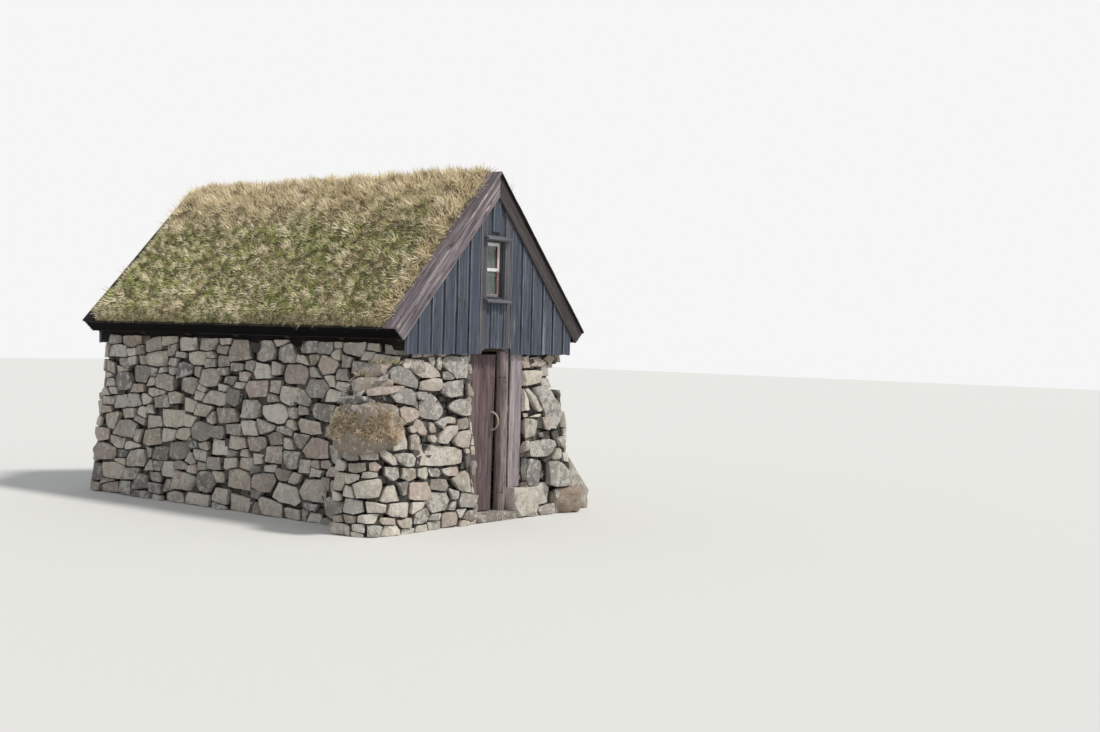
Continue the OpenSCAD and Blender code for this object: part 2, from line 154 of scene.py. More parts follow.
world = bpy.data.worlds.new("sky")
scene.world = world
world.use_nodes = True
sky = Nodes(world.node_tree)
sky.tree.nodes.remove(sky.tree.nodes["Background"])
light = sky.node("ShaderNodeBackground", inputs={"Color": (0.93, 0.96, 1.0), "Strength": 0.52})
white = sky.node("ShaderNodeBackground", inputs={"Color": (1, 1, 1), "Strength": 0.92})
seen = sky.node("ShaderNodeLightPath", output="Is Camera Ray")
for kind in ("Transmission", "Glossy"):
    ray = sky.node("ShaderNodeLightPath", output=f"Is {kind} Ray")
    seen = sky.maths("MAXIMUM", seen, ray)
shown = sky.node("ShaderNodeMixShader", inputs={0: seen, 1: light, 2: white})
sky.feed(sky.tree.nodes["World Output"].inputs["Surface"], shown)
lamp_data = bpy.data.lights.new("lamp", "SUN")
lamp_data.energy = 2.6
lamp_data.angle = SUN_WIDTH
lamp_data.color = (1.0, 0.97, 0.92)
lamp = bpy.data.objects.new("lamp", lamp_data)
lamp.rotation_euler = SUN_FROM.to_track_quat("Z", "Y").to_euler()
scene.collection.objects.link(lamp)
scene.view_settings.view_transform = "Standard"


# The house stands on a plain pale floor, level with the foot of its walls. The floor isn't part
# of the house, and reaches past the edge of every view.
REACH = 60


class Paint(Nodes):
    """One material, built from the surface's own coordinates."""

    def __init__(self, name):
        self.material = bpy.data.materials.new(name)
        self.material.use_nodes = True
        super().__init__(self.material.node_tree)
        self.shader = self.tree.nodes["Principled BSDF"]
        self.place = self.node("ShaderNodeTexCoord", output="Object")

    def noise(self, scale, at=None, detail=3, roughness=0.5, distortion=0):
        """Unevenness of about 1 / scale across, or of another size along each axis of at."""
        return self.node(
            "ShaderNodeTexNoise",
            inputs={
                "Vector": at or self.place,
                "Scale": scale,
                "Detail": detail,
                "Roughness": roughness,
                "Distortion": distortion,
            },
        )

    def band(self, value, low, high):
        """0 below low, 1 above high, and a smooth step between them."""
        return self.node(
            "ShaderNodeMapRange",
            {"interpolation_type": "SMOOTHSTEP"},
            {"Value": value, "From Min": low, "From Max": high},
        )

    def mix(self, first, second, share):
        """A colour that lies a share of the way from the first to the second."""
        sockets = {0: share, 6: first, 7: second}
        return self.node("ShaderNodeMix", {"data_type": "RGBA"}, sockets, output=2)

    def ramp(self, value, *stops):
        """A colour between the colours of (position, colour) stops."""
        return self.node("ShaderNodeValToRGB", {"stops": stops}, {0: value})

    def spots(self, at, scale):
        """How far a point lies from the middle of the nearest of many scattered spots."""
        inputs = {"Vector": at, "Scale": scale}
        return self.node("ShaderNodeTexVoronoi", {"feature": "F1"}, inputs, output="Distance")

    def own(self, name, output="Fac"):
        """A value that the mesh carries."""
        return self.node("ShaderNodeAttribute", {"attribute_name": name}, output=output)

    def done(self, colour, roughness, height=None, depth=0.004, **fixed):
        """The material with this colour and roughness, and a relief of a depth in metres."""
        self.feed(self.shader.inputs["Base Color"], colour)
        self.feed(self.shader.inputs["Roughness"], roughness)
        for name, value in fixed.items():
            self.feed(self.shader.inputs[name.replace("_", " ")], value)
        if height is not None:
            inputs = {"Height": height, "Distance": depth, "Strength": 1}
            self.feed(self.shader.inputs["Normal"], self.node("ShaderNodeBump", inputs=inputs))
        return self.material


def tone(red, green, blue):
    """A colour from its red, green and blue on a scale of 0 to 255, as they look."""
    return tuple(
        c / 3294.6 if c < 10.32 else ((c / 255 + 0.055) / 1.055) ** 2.4 for c in (red, green, blue)
    )


floor_mesh = bpy.data.meshes.new("floor")
floor_corners = [(-REACH, -REACH, 0), (REACH, -REACH, 0), (REACH, REACH, 0), (-REACH, REACH, 0)]
floor_mesh.from_pydata(floor_corners, [], [(0, 1, 2, 3)])
floor_mesh.materials.append(Paint("floor").done(tone(214, 214, 211), 0.9))
floor = bpy.data.objects.new("floor", floor_mesh)
scene.collection.objects.link(floor)
floor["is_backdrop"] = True


# Dry-laid walls of rough angular field stone, wide at the foot and leaning in, built without
# mortar. Each stone is a closed block of its own, cut to fit its neighbours with a narrow
# open joint, and behind the faces lies the filling of the wall, painted near black as the
# shade in the joints.
HEAD = 1.87  # top of the front and back walls
KERB = 1.945  # top of the side walls, close under the roof boards
FOOT_X, FOOT_Y = 1.58, 2.76  # the outer faces at the foot
BATTER = 0.15  # how far they lean in up to the kerb
ROOM_X, ROOM_Y = 0.78, 1.96  # the inner faces
DOOR_LEFT, DOOR_RIGHT = -0.315, 0.55
CORNER = 0.32  # how round the walls' corners are
FLATNESS = 1.8  # how much longer than high the stones lie
JOINT = 0.0045
SQUARE = 0.36  # 1 leaves the joints as they fall, 0 makes them all level or upright
SKEW = 0.22  # how far a joint may tilt
SKIN = 0.14  # how deep a stone reaches into the wall
LOWEST = 0.001  # no stone reaches below this
rng = np.random.default_rng(7)
noise.seed_set(7)


def carry(mesh, values):
    """Gives the points of a mesh the values that its material, or what grows on it, asks for."""
    for name, value in values.items():
        value = np.ascontiguousarray(value, float)
        kind, field = ("FLOAT_VECTOR", "vector") if value.ndim > 1 else ("FLOAT", "value")
        mesh.attributes.new(name, kind, "POINT").data.foreach_set(field, value.ravel())


class Piece:
    """Gathers the points and faces of one piece, with the values that its points carry."""

    def __init__(self):
        self.points, self.faces, self.values, self.count = [], [], {}, 0

    def add(self, points, faces, **values):
        points = np.asarray(points, float)
        self.points.append(points)
        self.faces += [tuple(i + self.count for i in face) for face in faces]
        self.count += len(points)
        for name, value in values.items():
            shape = (len(points), 3) if name == "grain" else (len(points),)
            self.values.setdefault(name, []).append(np.broadcast_to(np.asarray(value, float), shape))

    def make(self, name, body, slot, paint, stands_for=(), sharp=32):
        mesh = bpy.data.meshes.new(name)
        mesh.from_pydata(np.concatenate(self.points).tolist(), [], self.faces)
        mesh.validate()
        carry(mesh, {label: np.concatenate(parts) for label, parts in self.values.items()})
        work = bmesh.new()
        work.from_mesh(mesh)
        bmesh.ops.recalc_face_normals(work, faces=work.faces)
        work.to_mesh(mesh)
        work.free()
        mesh.shade_smooth()
        mesh.set_sharp_from_angle(angle=math.radians(sharp))
        mesh.materials.append(paint)
        made = bpy.data.objects.new(name, mesh)
        scene.collection.objects.link(made)
        settle(made, body, stands_for)


def settle(made, body, stands_for=()):
    """Puts a finished piece on its body, in the place of the plain solids it stands for."""
    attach(made, body)
    if stands_for:
        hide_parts(*stands_for)


class Course:
    """The line that a wall's faces follow at their foot, and the batter that leans them in.

    A stop is (x, y, share of the batter in x, share in y, radius of the corner there)."""

    def __init__(self, stops, side, end, high, closed):
        self.high, self.closed = high, closed
        line = []
        n = len(stops)
        for i, (x, y, lean_x, lean_y, radius) in enumerate(stops):
            here = Vector((x, y))
            if radius and (closed or 0 < i < n - 1):
                back = (Vector(stops[i - 1][:2]) - here).normalized()
                on = (Vector(stops[(i + 1) % n][:2]) - here).normalized()
                steps = 8 if radius > 0.1 else 3
                centre = here + (back + on) * radius
                for k in range(steps + 1):
                    angle = math.pi / 2 * k / steps
                    spot = centre - on * radius * math.cos(angle) - back * radius * math.sin(angle)
                    line.append((*spot, lean_x, lean_y))
            else:
                line.append((x, y, lean_x, lean_y))
        if closed:
            line.append(line[0])
        line = np.array(line)
        steps = np.hypot(*np.diff(line[:, :2], axis=0).T)
        at = np.concatenate([[0], np.cumsum(steps)])
        self.length = at[-1]
        self.at = np.linspace(0, self.length, int(self.length / 0.02))
        self.x, self.y, lean_x, lean_y = (np.interp(self.at, at, line[:, k]) for k in range(4))
        self.lean = lean_x * BATTER / side / KERB, lean_y * BATTER / end / KERB
        ahead_x, ahead_y = np.gradient(self.x), np.gradient(self.y)
        size = np.hypot(ahead_x, ahead_y)
        self.out = -ahead_y / size, ahead_x / size

    def place(self, s, z, out=0):
        """The point a length s along the course, at a height, and so far out of the wall.

        What stands out of a leaning face rises a little too."""
        s = np.asarray(s)
        if np.any((s < 0) | (s > self.length)):
            s = s % self.length
        x, y, lean_x, lean_y, out_x, out_y = (
            np.interp(s, self.at, a) for a in (self.x, self.y, *self.lean, *self.out)
        )
        x, y = x * (1 - lean_x * z) + out_x * out, y * (1 - lean_y * z) + out_y * out
        return np.stack([x, y, z + 0.05 * out * (lean_x + lean_y > 0)], axis=-1)


def scatter(course, small, large, given=(), tries=30000):
    """Places for stones, as (along / FLATNESS, height, size): the given ones, then others."""
    places = np.zeros((4000, 3))
    count = len(given)
    if count:
        places[:count] = given
    width = course.length / FLATNESS
    for k in range(tries):
        radius = small + (large - small) * rng.random() ** (0.6 + 2.2 * k / tries)
        spot = rng.uniform(0, course.length) / FLATNESS, rng.uniform(0, course.high)
        apart = np.abs(places[:count, 0] - spot[0])
        apart = np.hypot(np.minimum(apart, np.abs(width - apart)), places[:count, 1] - spot[1])
        if np.all(apart > 0.84 * (places[:count, 2] + radius)):
            places[count] = *spot, radius
            count += 1
    return places[:count]


def cut(outline, edge_x, edge_z, out_x, out_z):
    """The part of an outline that lies behind an edge."""
    side = [(x - edge_x) * out_x + (z - edge_z) * out_z for x, z in outline]
    kept = []
    for k, (x, z) in enumerate(outline):
        x1, z1 = outline[k - 1]
        if (side[k] > 0) != (side[k - 1] > 0):
            share = side[k - 1] / (side[k - 1] - side[k])
            kept.append((x1 + (x - x1) * share, z1 + (z - z1) * share))
        if side[k] <= 0:
            kept.append((x, z))
    return kept


def fit_stones(course, places):
    """Outlines that share out the wall between the places, larger ones taking more room.

    The joints are turned towards level and upright, as the beds of laid stones are."""
    width = course.length / FLATNESS
    outlines = []
    for i, (x, z, radius) in enumerate(places):
        outline = [(x + dx, z + dz) for dx, dz in ((-0.6, -0.6), (0.6, -0.6), (0.6, 0.6), (-0.6, 0.6))]
        away_x = places[:, 0] - x
        if course.closed:
            away_x = (away_x + width / 2) % width - width / 2
        away_z = places[:, 1] - z
        apart = np.hypot(away_x, away_z)
        for j in np.argsort(apart)[1:26]:
            share = 0.5 * (1 + (radius**2 - places[j, 2] ** 2) / apart[j] ** 2)
            skew = SKEW * math.sin(131 * min(i, j) + 57 * max(i, j))
            over, up = away_x[j], away_z[j]
            over, up = (over, up * SQUARE) if abs(over) > abs(up) else (over * SQUARE, up)
            over, up = over - up * skew, up + over * skew
            outline = cut(outline, x + away_x[j] * share, z + away_z[j] * share, over, up)
            if len(outline) < 3:
                break
        edges = [(x, 0, 0, -1), (x, course.high, 0, 1)]
        if not course.closed:
            edges += [(0, z, -1, 0), (width, z, 1, 0)]
        for edge in edges if len(outline) > 2 else ():
            outline = cut(outline, *edge)
        outlines.append([(px * FLATNESS, pz) for px, pz in outline] if len(outline) > 2 else None)
    return outlines


def hew(outline, close, plain):
    """One broken stone that fills an outline: its points as (s, z), how far each stands out, its
    depth in the wall, which is painted darker as shade in the joints, and its faces. Flat breaks across a block
    give the face and its corners.
    A stone that is close (0 to 1) keeps to its outline, and a plain one has fewer breaks."""
    outline = np.array(outline)
    centre = outline.mean(axis=0)
    ring = []
    n = len(outline)
    for k in range(n):
        here, before, after = outline[k], outline[k - 1], outline[(k + 1) % n]
        chip = rng.uniform(0.015, 0.06) if rng.random() < 0.85 else rng.uniform(0.08, 0.24)
        chip *= 1 - 0.6 * close
        ring.append(here + (before - here) * chip)
        ring.append(here + (after - here) * chip * rng.uniform(0.6, 1.4))
    ring = np.array(ring) - centre
    reach = np.hypot(*ring.T)
    size = reach.mean()
    if size < 0.028:
        return None
    turn = rng.normal(0, 0.025)
    ring = ring @ np.array([[math.cos(turn), math.sin(turn)], [-math.sin(turn), math.cos(turn)]])
    ring *= (1 - JOINT * rng.uniform(0.2, 1.3) / np.maximum(reach, 0.04))[:, None]
    work = bmesh.new()
    foot, head = 0.80 + 0.08 * close, 1.05 + 0.02 * close
    low = [work.verts.new((x * foot, z * foot, -SKIN)) for x, z in ring]
    high = [work.verts.new((x * head, z * head, 0.2)) for x, z in ring]
    work.faces.new(low[::-1])
    work.faces.new(high)
    for k in range(len(ring)):
        on = (k + 1) % len(ring)
        work.faces.new((low[k], low[on], high[on], high[k]))
    breaks = [((0, 0, 0), (*rng.normal(0, 0.14, 2), 1))]
    for _ in range(2 if plain else rng.integers(2, 6)):
        angle = rng.uniform(0, 2 * math.pi)
        far = rng.uniform(0.2, 0.95)
        steep = rng.uniform(0.15, 1.1) * far * (1 - 0.35 * close)
        away = size * far
        c, s = math.cos(angle), math.sin(angle)
        breaks.append(((c * away, s * away, 0), (c * steep, s * steep, 1)))
    for spot, facing in breaks:
        every = work.verts[:] + work.edges[:] + work.faces[:]
        bmesh.ops.bisect_plane(work, geom=every, plane_co=spot, plane_no=facing, clear_outer=True)
        open_edges = [e for e in work.edges if e.is_boundary]
        if open_edges:
            bmesh.ops.holes_fill(work, edges=open_edges)
    bmesh.ops.remove_doubles(work, verts=work.verts[:], dist=0.004)
    if not plain:
        worn = [
            e for e in work.edges
            if min(v.co.z for v in e.verts) > -SKIN * 0.55 and e.calc_length() > 0.012
        ]
        width = rng.uniform(0.0015, 0.004)
        bmesh.ops.bevel(work, geom=worn, offset=width, segments=1, affect="EDGES", clamp_overlap=True)
    bmesh.ops.triangulate(work, faces=work.faces[:])
    for longest in () if plain else (0.12, 0.075):
        long_edges = [
            e for e in work.edges
            if e.calc_length() > longest and max(v.co.z for v in e.verts) > -SKIN * 0.5
        ]
        if long_edges:
            bmesh.ops.subdivide_edges(work, edges=long_edges, cuts=1)
            bmesh.ops.triangulate(work, faces=[f for f in work.faces if len(f.verts) > 3])
    # points and faces in an order that is the same in every run
    points = np.array([v.co for v in work.verts])
    work.verts.index_update()
    order = np.lexsort(points.T)
    points, rank = points[order], np.argsort(order).tolist()
    faces = [tuple(rank[v.index] for v in f.verts) for f in work.faces]
    faces = sorted(f[f.index(min(f)):] + f[: f.index(min(f))] for f in faces)
    work.free()
    # painted shade: the further a point lies back from the stone's face, the darker it is painted, as the shade
    # in the joints
    deep = np.clip((points[:, 2].max() - points[:, 2] - 0.25 * size) / 0.07, 0, 1)
    return centre + points[:, :2], points[:, 2], deep, faces


def roughen(points, *layers):
    """Moves points by layers of (size of the unevenness, how far)."""
    moved = np.array(points)
    for size, far in layers:
        moved += far * np.array([noise.noise_vector(Vector(p) / size) for p in points])
    return moved


def beside(outline, spot, drawn):
    """What is left of an outline beside the drawn stones, or None where one lies in its place."""
    for *_, corners in drawn:
        corners = np.array(corners)
        middle = corners.mean(axis=0)
        if np.abs(middle - spot).max() > 0.8:
            continue
        nearest = None
        for k, here in enumerate(corners):
            edge = here - corners[k - 1]
            facing = np.array((edge[1], -edge[0])) / np.hypot(*edge)
            facing *= math.copysign(1, (here - middle) @ facing)
            away = (spot - here) @ facing
            if nearest is None or away > nearest[0]:
                nearest = away, here, facing
        away, here, facing = nearest
        outline = cut(outline, *here, *-facing) if away > 0.012 else ()
        if len(outline) < 3:
            return None
    return outline


def worn_corner(course, s, z):
    """How far stones have fallen out of the corner right of the door, just under the wall head."""
    x, y, _ = course.place(s, 0)
    along = (x - DOOR_RIGHT + y + FOOT_Y) * (x > 1.2 or y < -2.7)
    across = np.interp(along, (0.45, 0.80, 1.30, 1.65), (0, 1, 1, 0))
    return 0.20 * across * np.interp(z, (1.36, 1.47, 1.68, 1.77), (0, 1, 1, 0))


def lay(course, places, whose, top, recess=0.0, drawn=()):
    """Dresses every stone of a course and adds it to the piece of the wall that it is in.

    The first places are those of the drawn stones. A recess sets small stones back, to wedge
    the joints between larger ones, and paints them darker as painted shade in the joints."""
    for number, (spot, outline) in enumerate(zip(places, fit_stones(course, places))):
        middle_s, middle_z = spot[0] * FLATNESS, spot[1]
        shade, crust, stand = None, rng.random() ** 2, 0
        if number < len(drawn):
            shade, crust, stand, outline = drawn[number]
        elif outline is not None and not recess:
            outline = beside(outline, np.array((middle_s, middle_z)), drawn)
        if outline is None:
            continue
        outline = [(s, min(z, top(s))) for s, z in outline]
        along, up = np.transpose(outline)
        area = abs(along @ np.roll(up, 1) - up @ np.roll(along, 1)) / 2
        girth = np.hypot(along - np.roll(along, 1), up - np.roll(up, 1)).sum()
        sliver = number >= len(drawn) and area < 0.024 * girth**2
        if area < 0.0015 or sliver:
            continue
        inner = np.all(np.abs(course.place(middle_s, 1)[:2]) < (ROOM_X + 0.1, ROOM_Y + 0.1))
        stone = hew(outline, close=float(number < len(drawn)), plain=recess > 0 or inner)
        if stone is None:
            continue
        at, height, deep, faces = stone
        # painted shade: set-back stones are painted at least this dark, as they lie in the shade of the joints
        deep = np.maximum(deep, 0.62 if recess else 0)
        z = np.maximum(at[:, 1], 0.003)
        height = height + rng.uniform(-0.022, 0.020) - recess + stand
        most = np.where(z > top(middle_s) - 0.11, -0.012, 0.05 + max(0, stand))
        height = np.minimum(height, most) - worn_corner(course, middle_s, middle_z)
        points = roughen(course.place(at[:, 0], z, height), (0.11, 0.008), (0.035, 0.005))
        points[:, 2] = np.maximum(points[:, 2], LOWEST)
        middle = points.mean(axis=0)
        wall = whose(middle)
        if wall is None:
            continue
        if middle[1] < -ROOM_Y + 0.05 and middle[0] < DOOR_LEFT + 0.1:
            points[:, 0] = np.minimum(points[:, 0], DOOR_LEFT - 0.004)
        elif middle[1] < -ROOM_Y + 0.05 and DOOR_RIGHT - 0.1 < middle[0]:
            points[:, 0] = np.maximum(points[:, 0], DOOR_RIGHT + 0.004)
        any_shade = rng.random()
        shade = any_shade if shade is None else shade
        walls[wall].add(points, faces, stone=shade, deep=deep, crust=crust)


REVEAL = [(-ROOM_Y, 0, 0, 0.03), (-FOOT_Y, 0, 1, 0.03)]
house = Course(
    [
        *((DOOR_LEFT, *stop) for stop in REVEAL),
        (-FOOT_X, -FOOT_Y, 1, 1, CORNER),
        (-FOOT_X, FOOT_Y, 1, 1, CORNER),
        (FOOT_X, FOOT_Y, 1, 1, CORNER),
        (FOOT_X, -FOOT_Y, 1, 1, CORNER),
        *((DOOR_RIGHT, *stop) for stop in reversed(REVEAL)),
        (ROOM_X, -ROOM_Y, 0, 0, 0),
        (ROOM_X, ROOM_Y, 0, 0, 0),
        (-ROOM_X, ROOM_Y, 0, 0, 0),
        (-ROOM_X, -ROOM_Y, 0, 0, 0),
    ],
    FOOT_X, FOOT_Y, KERB, closed=True,
)

# The front left of the door runs on into the short wing wall, as one face
WING_X, WING_BACK = 2.0, 2.2
WING_RUN = ((-2.0, -1.81, -1.52), (1.22, 1.52, 1.72))  # x and height of the wing wall's top
WING_TOP = ((*WING_RUN[0], -1.42, -1.40), (*WING_RUN[1], 1.74, HEAD))
left_front = Course(
    [
        *((DOOR_LEFT, *stop) for stop in REVEAL),
        (-WING_X, -FOOT_Y, 1, 1, CORNER),
        (-WING_X, -WING_BACK, 1, 0, 0.06),
        (-1.5, -WING_BACK, 0, 0, 0),
    ],
    WING_X, FOOT_Y, HEAD, closed=False,
)

# The stones that show beside the door, as they lie there: a tone, how much lichen, how far one
# stands out, then its corners, each as centimetres along the wall from the doorway, and height.
# The stones that stand 5 back lie in shade, and their tone 4, the darkest, is painted shade.
LEFT_STONES = (
    (6, 1, 5, 109, 146, 163, 141, 164, 148, 157, 150, 129, 151, 109, 150),
    (4, 1, -5, 134, 143, 135, 136, 149, 135, 158, 140, 143, 142),
    (7, 9, 0, -3, 173, 2, 157, 23, 157, 44, 170, 49, 176, 43, 180, 35, 182, 1, 182),
    (1, 2, -2, 25, 158, 33, 156, 46, 157, 46, 165, 35, 166, 26, 162),
    (3, 3, 0, 48, 180, 49, 171, 52, 166, 57, 167, 57, 176, 53, 182),
    (2, 5, 0, 58, 176, 60, 169, 65, 174, 70, 181, 58, 182),
    (0, 4, 0, 49, 159, 68, 158, 81, 159, 89, 162, 98, 167, 75, 176, 69, 175, 49, 162),
    (5, 9, 0, 49, 150, 55, 145, 71, 145, 86, 146, 86, 155, 76, 157, 61, 159, 49, 158),
    (2, 3, 0, 96, 179, 97, 174, 103, 168, 111, 169, 111, 174, 105, 180),
    (2, 2, 0, 81, 174, 86, 170, 94, 170, 97, 174, 92, 178, 84, 178),
    (3, 1, 0, 67, 176, 81, 176, 70, 178),
    (7, 1, 0, 87, 156, 88, 148, 133, 154, 135, 163, 131, 172, 120, 172, 104, 168, 96, 164),
    (7, 3, 0, 96, 135, 100, 130, 126, 134, 135, 144, 133, 150, 116, 150, 104, 148, 96, 142),
    (6, 2, 0, 89, 124, 90, 118, 102, 113, 111, 112, 119, 120, 121, 128, 113, 131, 96, 128),
    (7, 2, 0, 75, 139, 83, 136, 91, 136, 96, 144, 88, 145, 75, 144),
    (1, 1, -2, 88, 126, 95, 129, 96, 135, 90, 135),
    (7, 4, 0, 40, 126, 43, 120, 54, 115, 63, 114, 80, 116, 88, 120, 87, 134, 71, 143, 65, 144, 57, 140, 47, 133),
    (7, 4, 0, 10, 156, 11, 138, 24, 137, 40, 138, 52, 144, 53, 152, 38, 156),
    (3, 2, 0, -3, 142, 0, 138, 8, 139, 8, 153, 4, 152),
    (2, 5, 0, -3, 134, 5, 134, 8, 137, 0, 138),
    (7, 5, 0, -1, 126, 2, 117, 15, 117, 26, 120, 36, 124, 39, 128, 30, 134, 22, 136, 9, 136, 2, 132),
    (5, 3, 0, 24, 112, 26, 109, 40, 110, 42, 118, 36, 118, 25, 116),
    (3, 3, 0, 3, 104, 9, 102, 22, 102, 24, 108, 23, 115, 16, 116, 8, 116, 4, 112),
    (7, 9, 0, 41, 112, 46, 104, 55, 108, 63, 112, 43, 118),
    (6, 9, 0, 24, 103, 29, 96, 42, 88, 50, 89, 59, 92, 55, 100, 45, 106, 39, 108, 26, 108),
    (0, 1, 0, 3, 94, 5, 82, 18, 83, 29, 86, 32, 92, 27, 98, 24, 101, 5, 102),
    (0, 8, 0, 14, 74, 15, 66, 29, 65, 58, 66, 85, 68, 89, 71, 87, 91, 76, 92, 63, 90, 28, 84, 16, 80),
    (6, 3, 0, 25, 59, 27, 54, 42, 54, 50, 58, 53, 63, 42, 64, 27, 64),
    (1, 4, 0, 52, 58, 57, 54, 69, 56, 74, 66, 55, 64),
    (5, 4, 0, 71, 57, 77, 52, 90, 58, 89, 66, 75, 66),
    (0, 1, 0, 7, 48, 8, 34, 22, 36, 33, 45, 38, 52, 24, 58, 16, 60, 8, 56),
    (4, 2, 0, 5, 68, 11, 60, 13, 68, 12, 77, 5, 78),
    (6, 1, 0, 72, 103, 74, 98, 82, 98, 98, 110, 94, 114, 88, 118, 82, 114),
    (5, 3, 0, 92, 104, 95, 102, 102, 103, 105, 109, 98, 110),
    (3, 1, 0, 88, 88, 90, 84, 102, 85, 102, 101, 95, 102, 89, 99),
    (5, 5, 0, 61, 96, 63, 91, 70, 92, 74, 96, 71, 99, 66, 100),
    (5, 5, 0, 110, 86, 130, 84, 132, 94, 132, 104, 122, 106, 113, 106, 110, 96),
    (7, 5, 0, 91, 74, 93, 68, 107, 68, 119, 73, 128, 82, 114, 83, 97, 82),
    (5, 8, 0, 122, 114, 127, 110, 134, 116, 137, 125, 134, 132, 127, 132, 123, 125),
    (0, 4, 0, 106, 112, 109, 110, 118, 112, 122, 116, 120, 119, 114, 119),
    (4, 1, -5, 127, 100, 130, 92, 135, 87, 143, 91, 143, 100, 136, 104),
    (4, 1, -5, 103, 86, 108, 86, 122, 110, 113, 110, 105, 106),
    (4, 1, -5, 134, 116, 136, 107, 143, 132, 135, 132),
    (7, 9, 0, 134, 109, 139, 105, 138, 115, 135, 113),
    (5, 7, 0, 117, 70, 127, 70, 137, 75, 145, 81, 149, 89, 143, 89, 133, 84, 122, 78),
    (5, 8, 0, 146, 77, 158, 76, 168, 76, 172, 82, 170, 90, 157, 91, 151, 88, 147, 82),
    (7, 2, 0, 169, 76, 184, 75, 196, 78, 200, 86, 187, 90, 171, 90),
    (6, 3, 0, 143, 70, 149, 65, 158, 66, 159, 74, 152, 76),
    (3, 3, 0, 160, 66, 171, 63, 182, 65, 184, 73, 168, 74, 161, 74),
    (3, 3, 0, 91, 56, 105, 52, 117, 58, 114, 68, 93, 66),
    (7, 4, 0, 117, 68, 119, 58, 133, 55, 143, 62, 142, 71),
    (0, 2, 7, 149, 100, 150, 96, 156, 92, 179, 92, 196, 94, 200, 99, 200, 107, 199, 109, 179, 108, 156, 103),
    (3, 4, 0, 134, 151, 142, 146, 159, 141, 166, 144, 163, 148, 157, 150, 148, 151),
)
RIGHT_STONES = (
    (6, 1, 0, -6, 168, 9, 169, 12, 176, 12, 184, -4, 181),
    (6, 2, 0, 12, 170, 37, 170, 52, 174, 44, 178, 33, 182, 16, 180),
    (3, 2, 0, 44, 180, 56, 174, 71, 178, 67, 182, 52, 184),
    (2, 1, 0, -7, 148, 10, 149, 35, 151, 39, 159, 37, 166, -5, 166),
    (8, 0, 0, -8, 118, 7, 119, 4, 132, -3, 146, -6, 146),
    (5, 4, 0, -1, 145, 21, 120, 27, 117, 33, 120, 11, 142, 4, 146),
    (7, 10, 0, 13, 146, 51, 96, 64, 96, 74, 105, 78, 114, 70, 127, 40, 146, 28, 148),
    (6, 0, 0, 33, 112, 36, 103, 40, 97, 49, 96, 48, 103, 43, 114),
    (0, 3, 0, -16, 94, -4, 88, 9, 88, 25, 91, 27, 98, 26, 110, 9, 112, -3, 112, -15, 109),
    (2, 4, 0, -6, 117, -4, 112, 1, 113, 1, 117),
    (8, 3, 0, 9, 113, 23, 112, 31, 114, 27, 116),
    (1, 1, -2, 27, 93, 29, 88, 45, 89, 36, 95),
    (5, 3, 0, -13, 70, -5, 72, 3, 76, 8, 82, 4, 87, -7, 86, -11, 80),
    (7, 7, 0, 3, 74, 6, 68, 23, 66, 41, 66, 54, 72, 65, 78, 62, 84, 48, 87, 6, 86),
    (7, 7, 0, -14, 38, -4, 42, -2, 56, -1, 68, -12, 66),
    (1, 9, 0, -4, 40, 4, 34, 20, 34, 29, 52, 31, 63, 23, 64, 2, 66, -2, 56),
    (4, 1, -5, 25, 40, 33, 43, 35, 50, 32, 51),
    (7, 3, 5, 31, 35, 42, 31, 87, 28, 87, 38, 75, 48, 61, 57, 47, 63, 33, 62),
    (0, 8, 0, 4, 10, 37, 12, 40, 31, 33, 38, 4, 35),
)


def front_place(course, x, side):
    """How far along the course the front face reaches x, left (-1) or right (1) of the door."""
    on_face = (course.y < -2.3) & (course.x * side > min(-DOOR_LEFT, DOOR_RIGHT) - 0.01)
    order = np.argsort(course.x[on_face])
    return float(np.interp(x, course.x[on_face][order], course.at[on_face][order]))


def drawn_on(course, stones, side):
    """The drawn stones on a course: tone and lichen from 0 to 1, how far out, and corners (s, z)."""
    start = front_place(course, DOOR_LEFT - 0.03 if side < 0 else DOOR_RIGHT + 0.03, side)
    drawn = []
    for shade, crust, stand, *corners in stones:
        corners = [(start - side * s / 100, z / 100) for s, z in zip(corners[::2], corners[1::2])]
        drawn.append((shade / 9, crust / 10, stand / 100, corners))
    return drawn


def as_places(drawn):
    """Where the drawn stones lie, and how much room they take, for the stones laid around them."""
    places = []
    for *_, corners in drawn:
        along, up = np.transpose(corners)
        size = 0.5 * math.sqrt(np.ptp(along) / FLATNESS * np.ptp(up))
        places.append((along.mean() / FLATNESS, up.mean(), size))
    return places


def wing_top(s):
    """How high the stones of the left front reach, up to the stepped top of the wing wall."""
    return float(np.interp(left_front.place(s, 1.4)[0], *WING_TOP))


def house_top(s):
    """The walls stop at their heads, and the side walls reach up to the roof boards."""
    x, y, _ = house.place(s, 0)
    return KERB if abs(x) > 1.4 and abs(y) < 2.72 else HEAD


def left_front_of(middle):
    """The wall that a stone of the left front is in."""
    return "front_wall_left" if middle[0] > -1.41 else "wing_wall"


def wall_of(middle):
    """The wall that a stone of the house's course is in, or None where the left front has it."""
    x, y, z = middle
    behind_wing = y > -WING_BACK - 0.03 and x < -1.42
    above_wing = y > -2.62 and z > np.interp(x, *WING_RUN) - 0.08
    if x < 0 and y < -ROOM_Y - 0.06 and not (x < -1.2 and (behind_wing or above_wing)):
        return None
    if y < -ROOM_Y + 0.06:
        return "front_wall_left" if x < 0 else "front_wall_right"
    if y > ROOM_Y - 0.06:
        return "back_wall"
    return "left_wall" if x < 0 else "right_wall"


def outer_wall_of(middle):
    """The same for small stones, which are wedged only into the outer faces."""
    inside = abs(middle[0]) < ROOM_X + 0.2 and abs(middle[1]) < ROOM_Y + 0.3
    return None if inside else wall_of(middle)


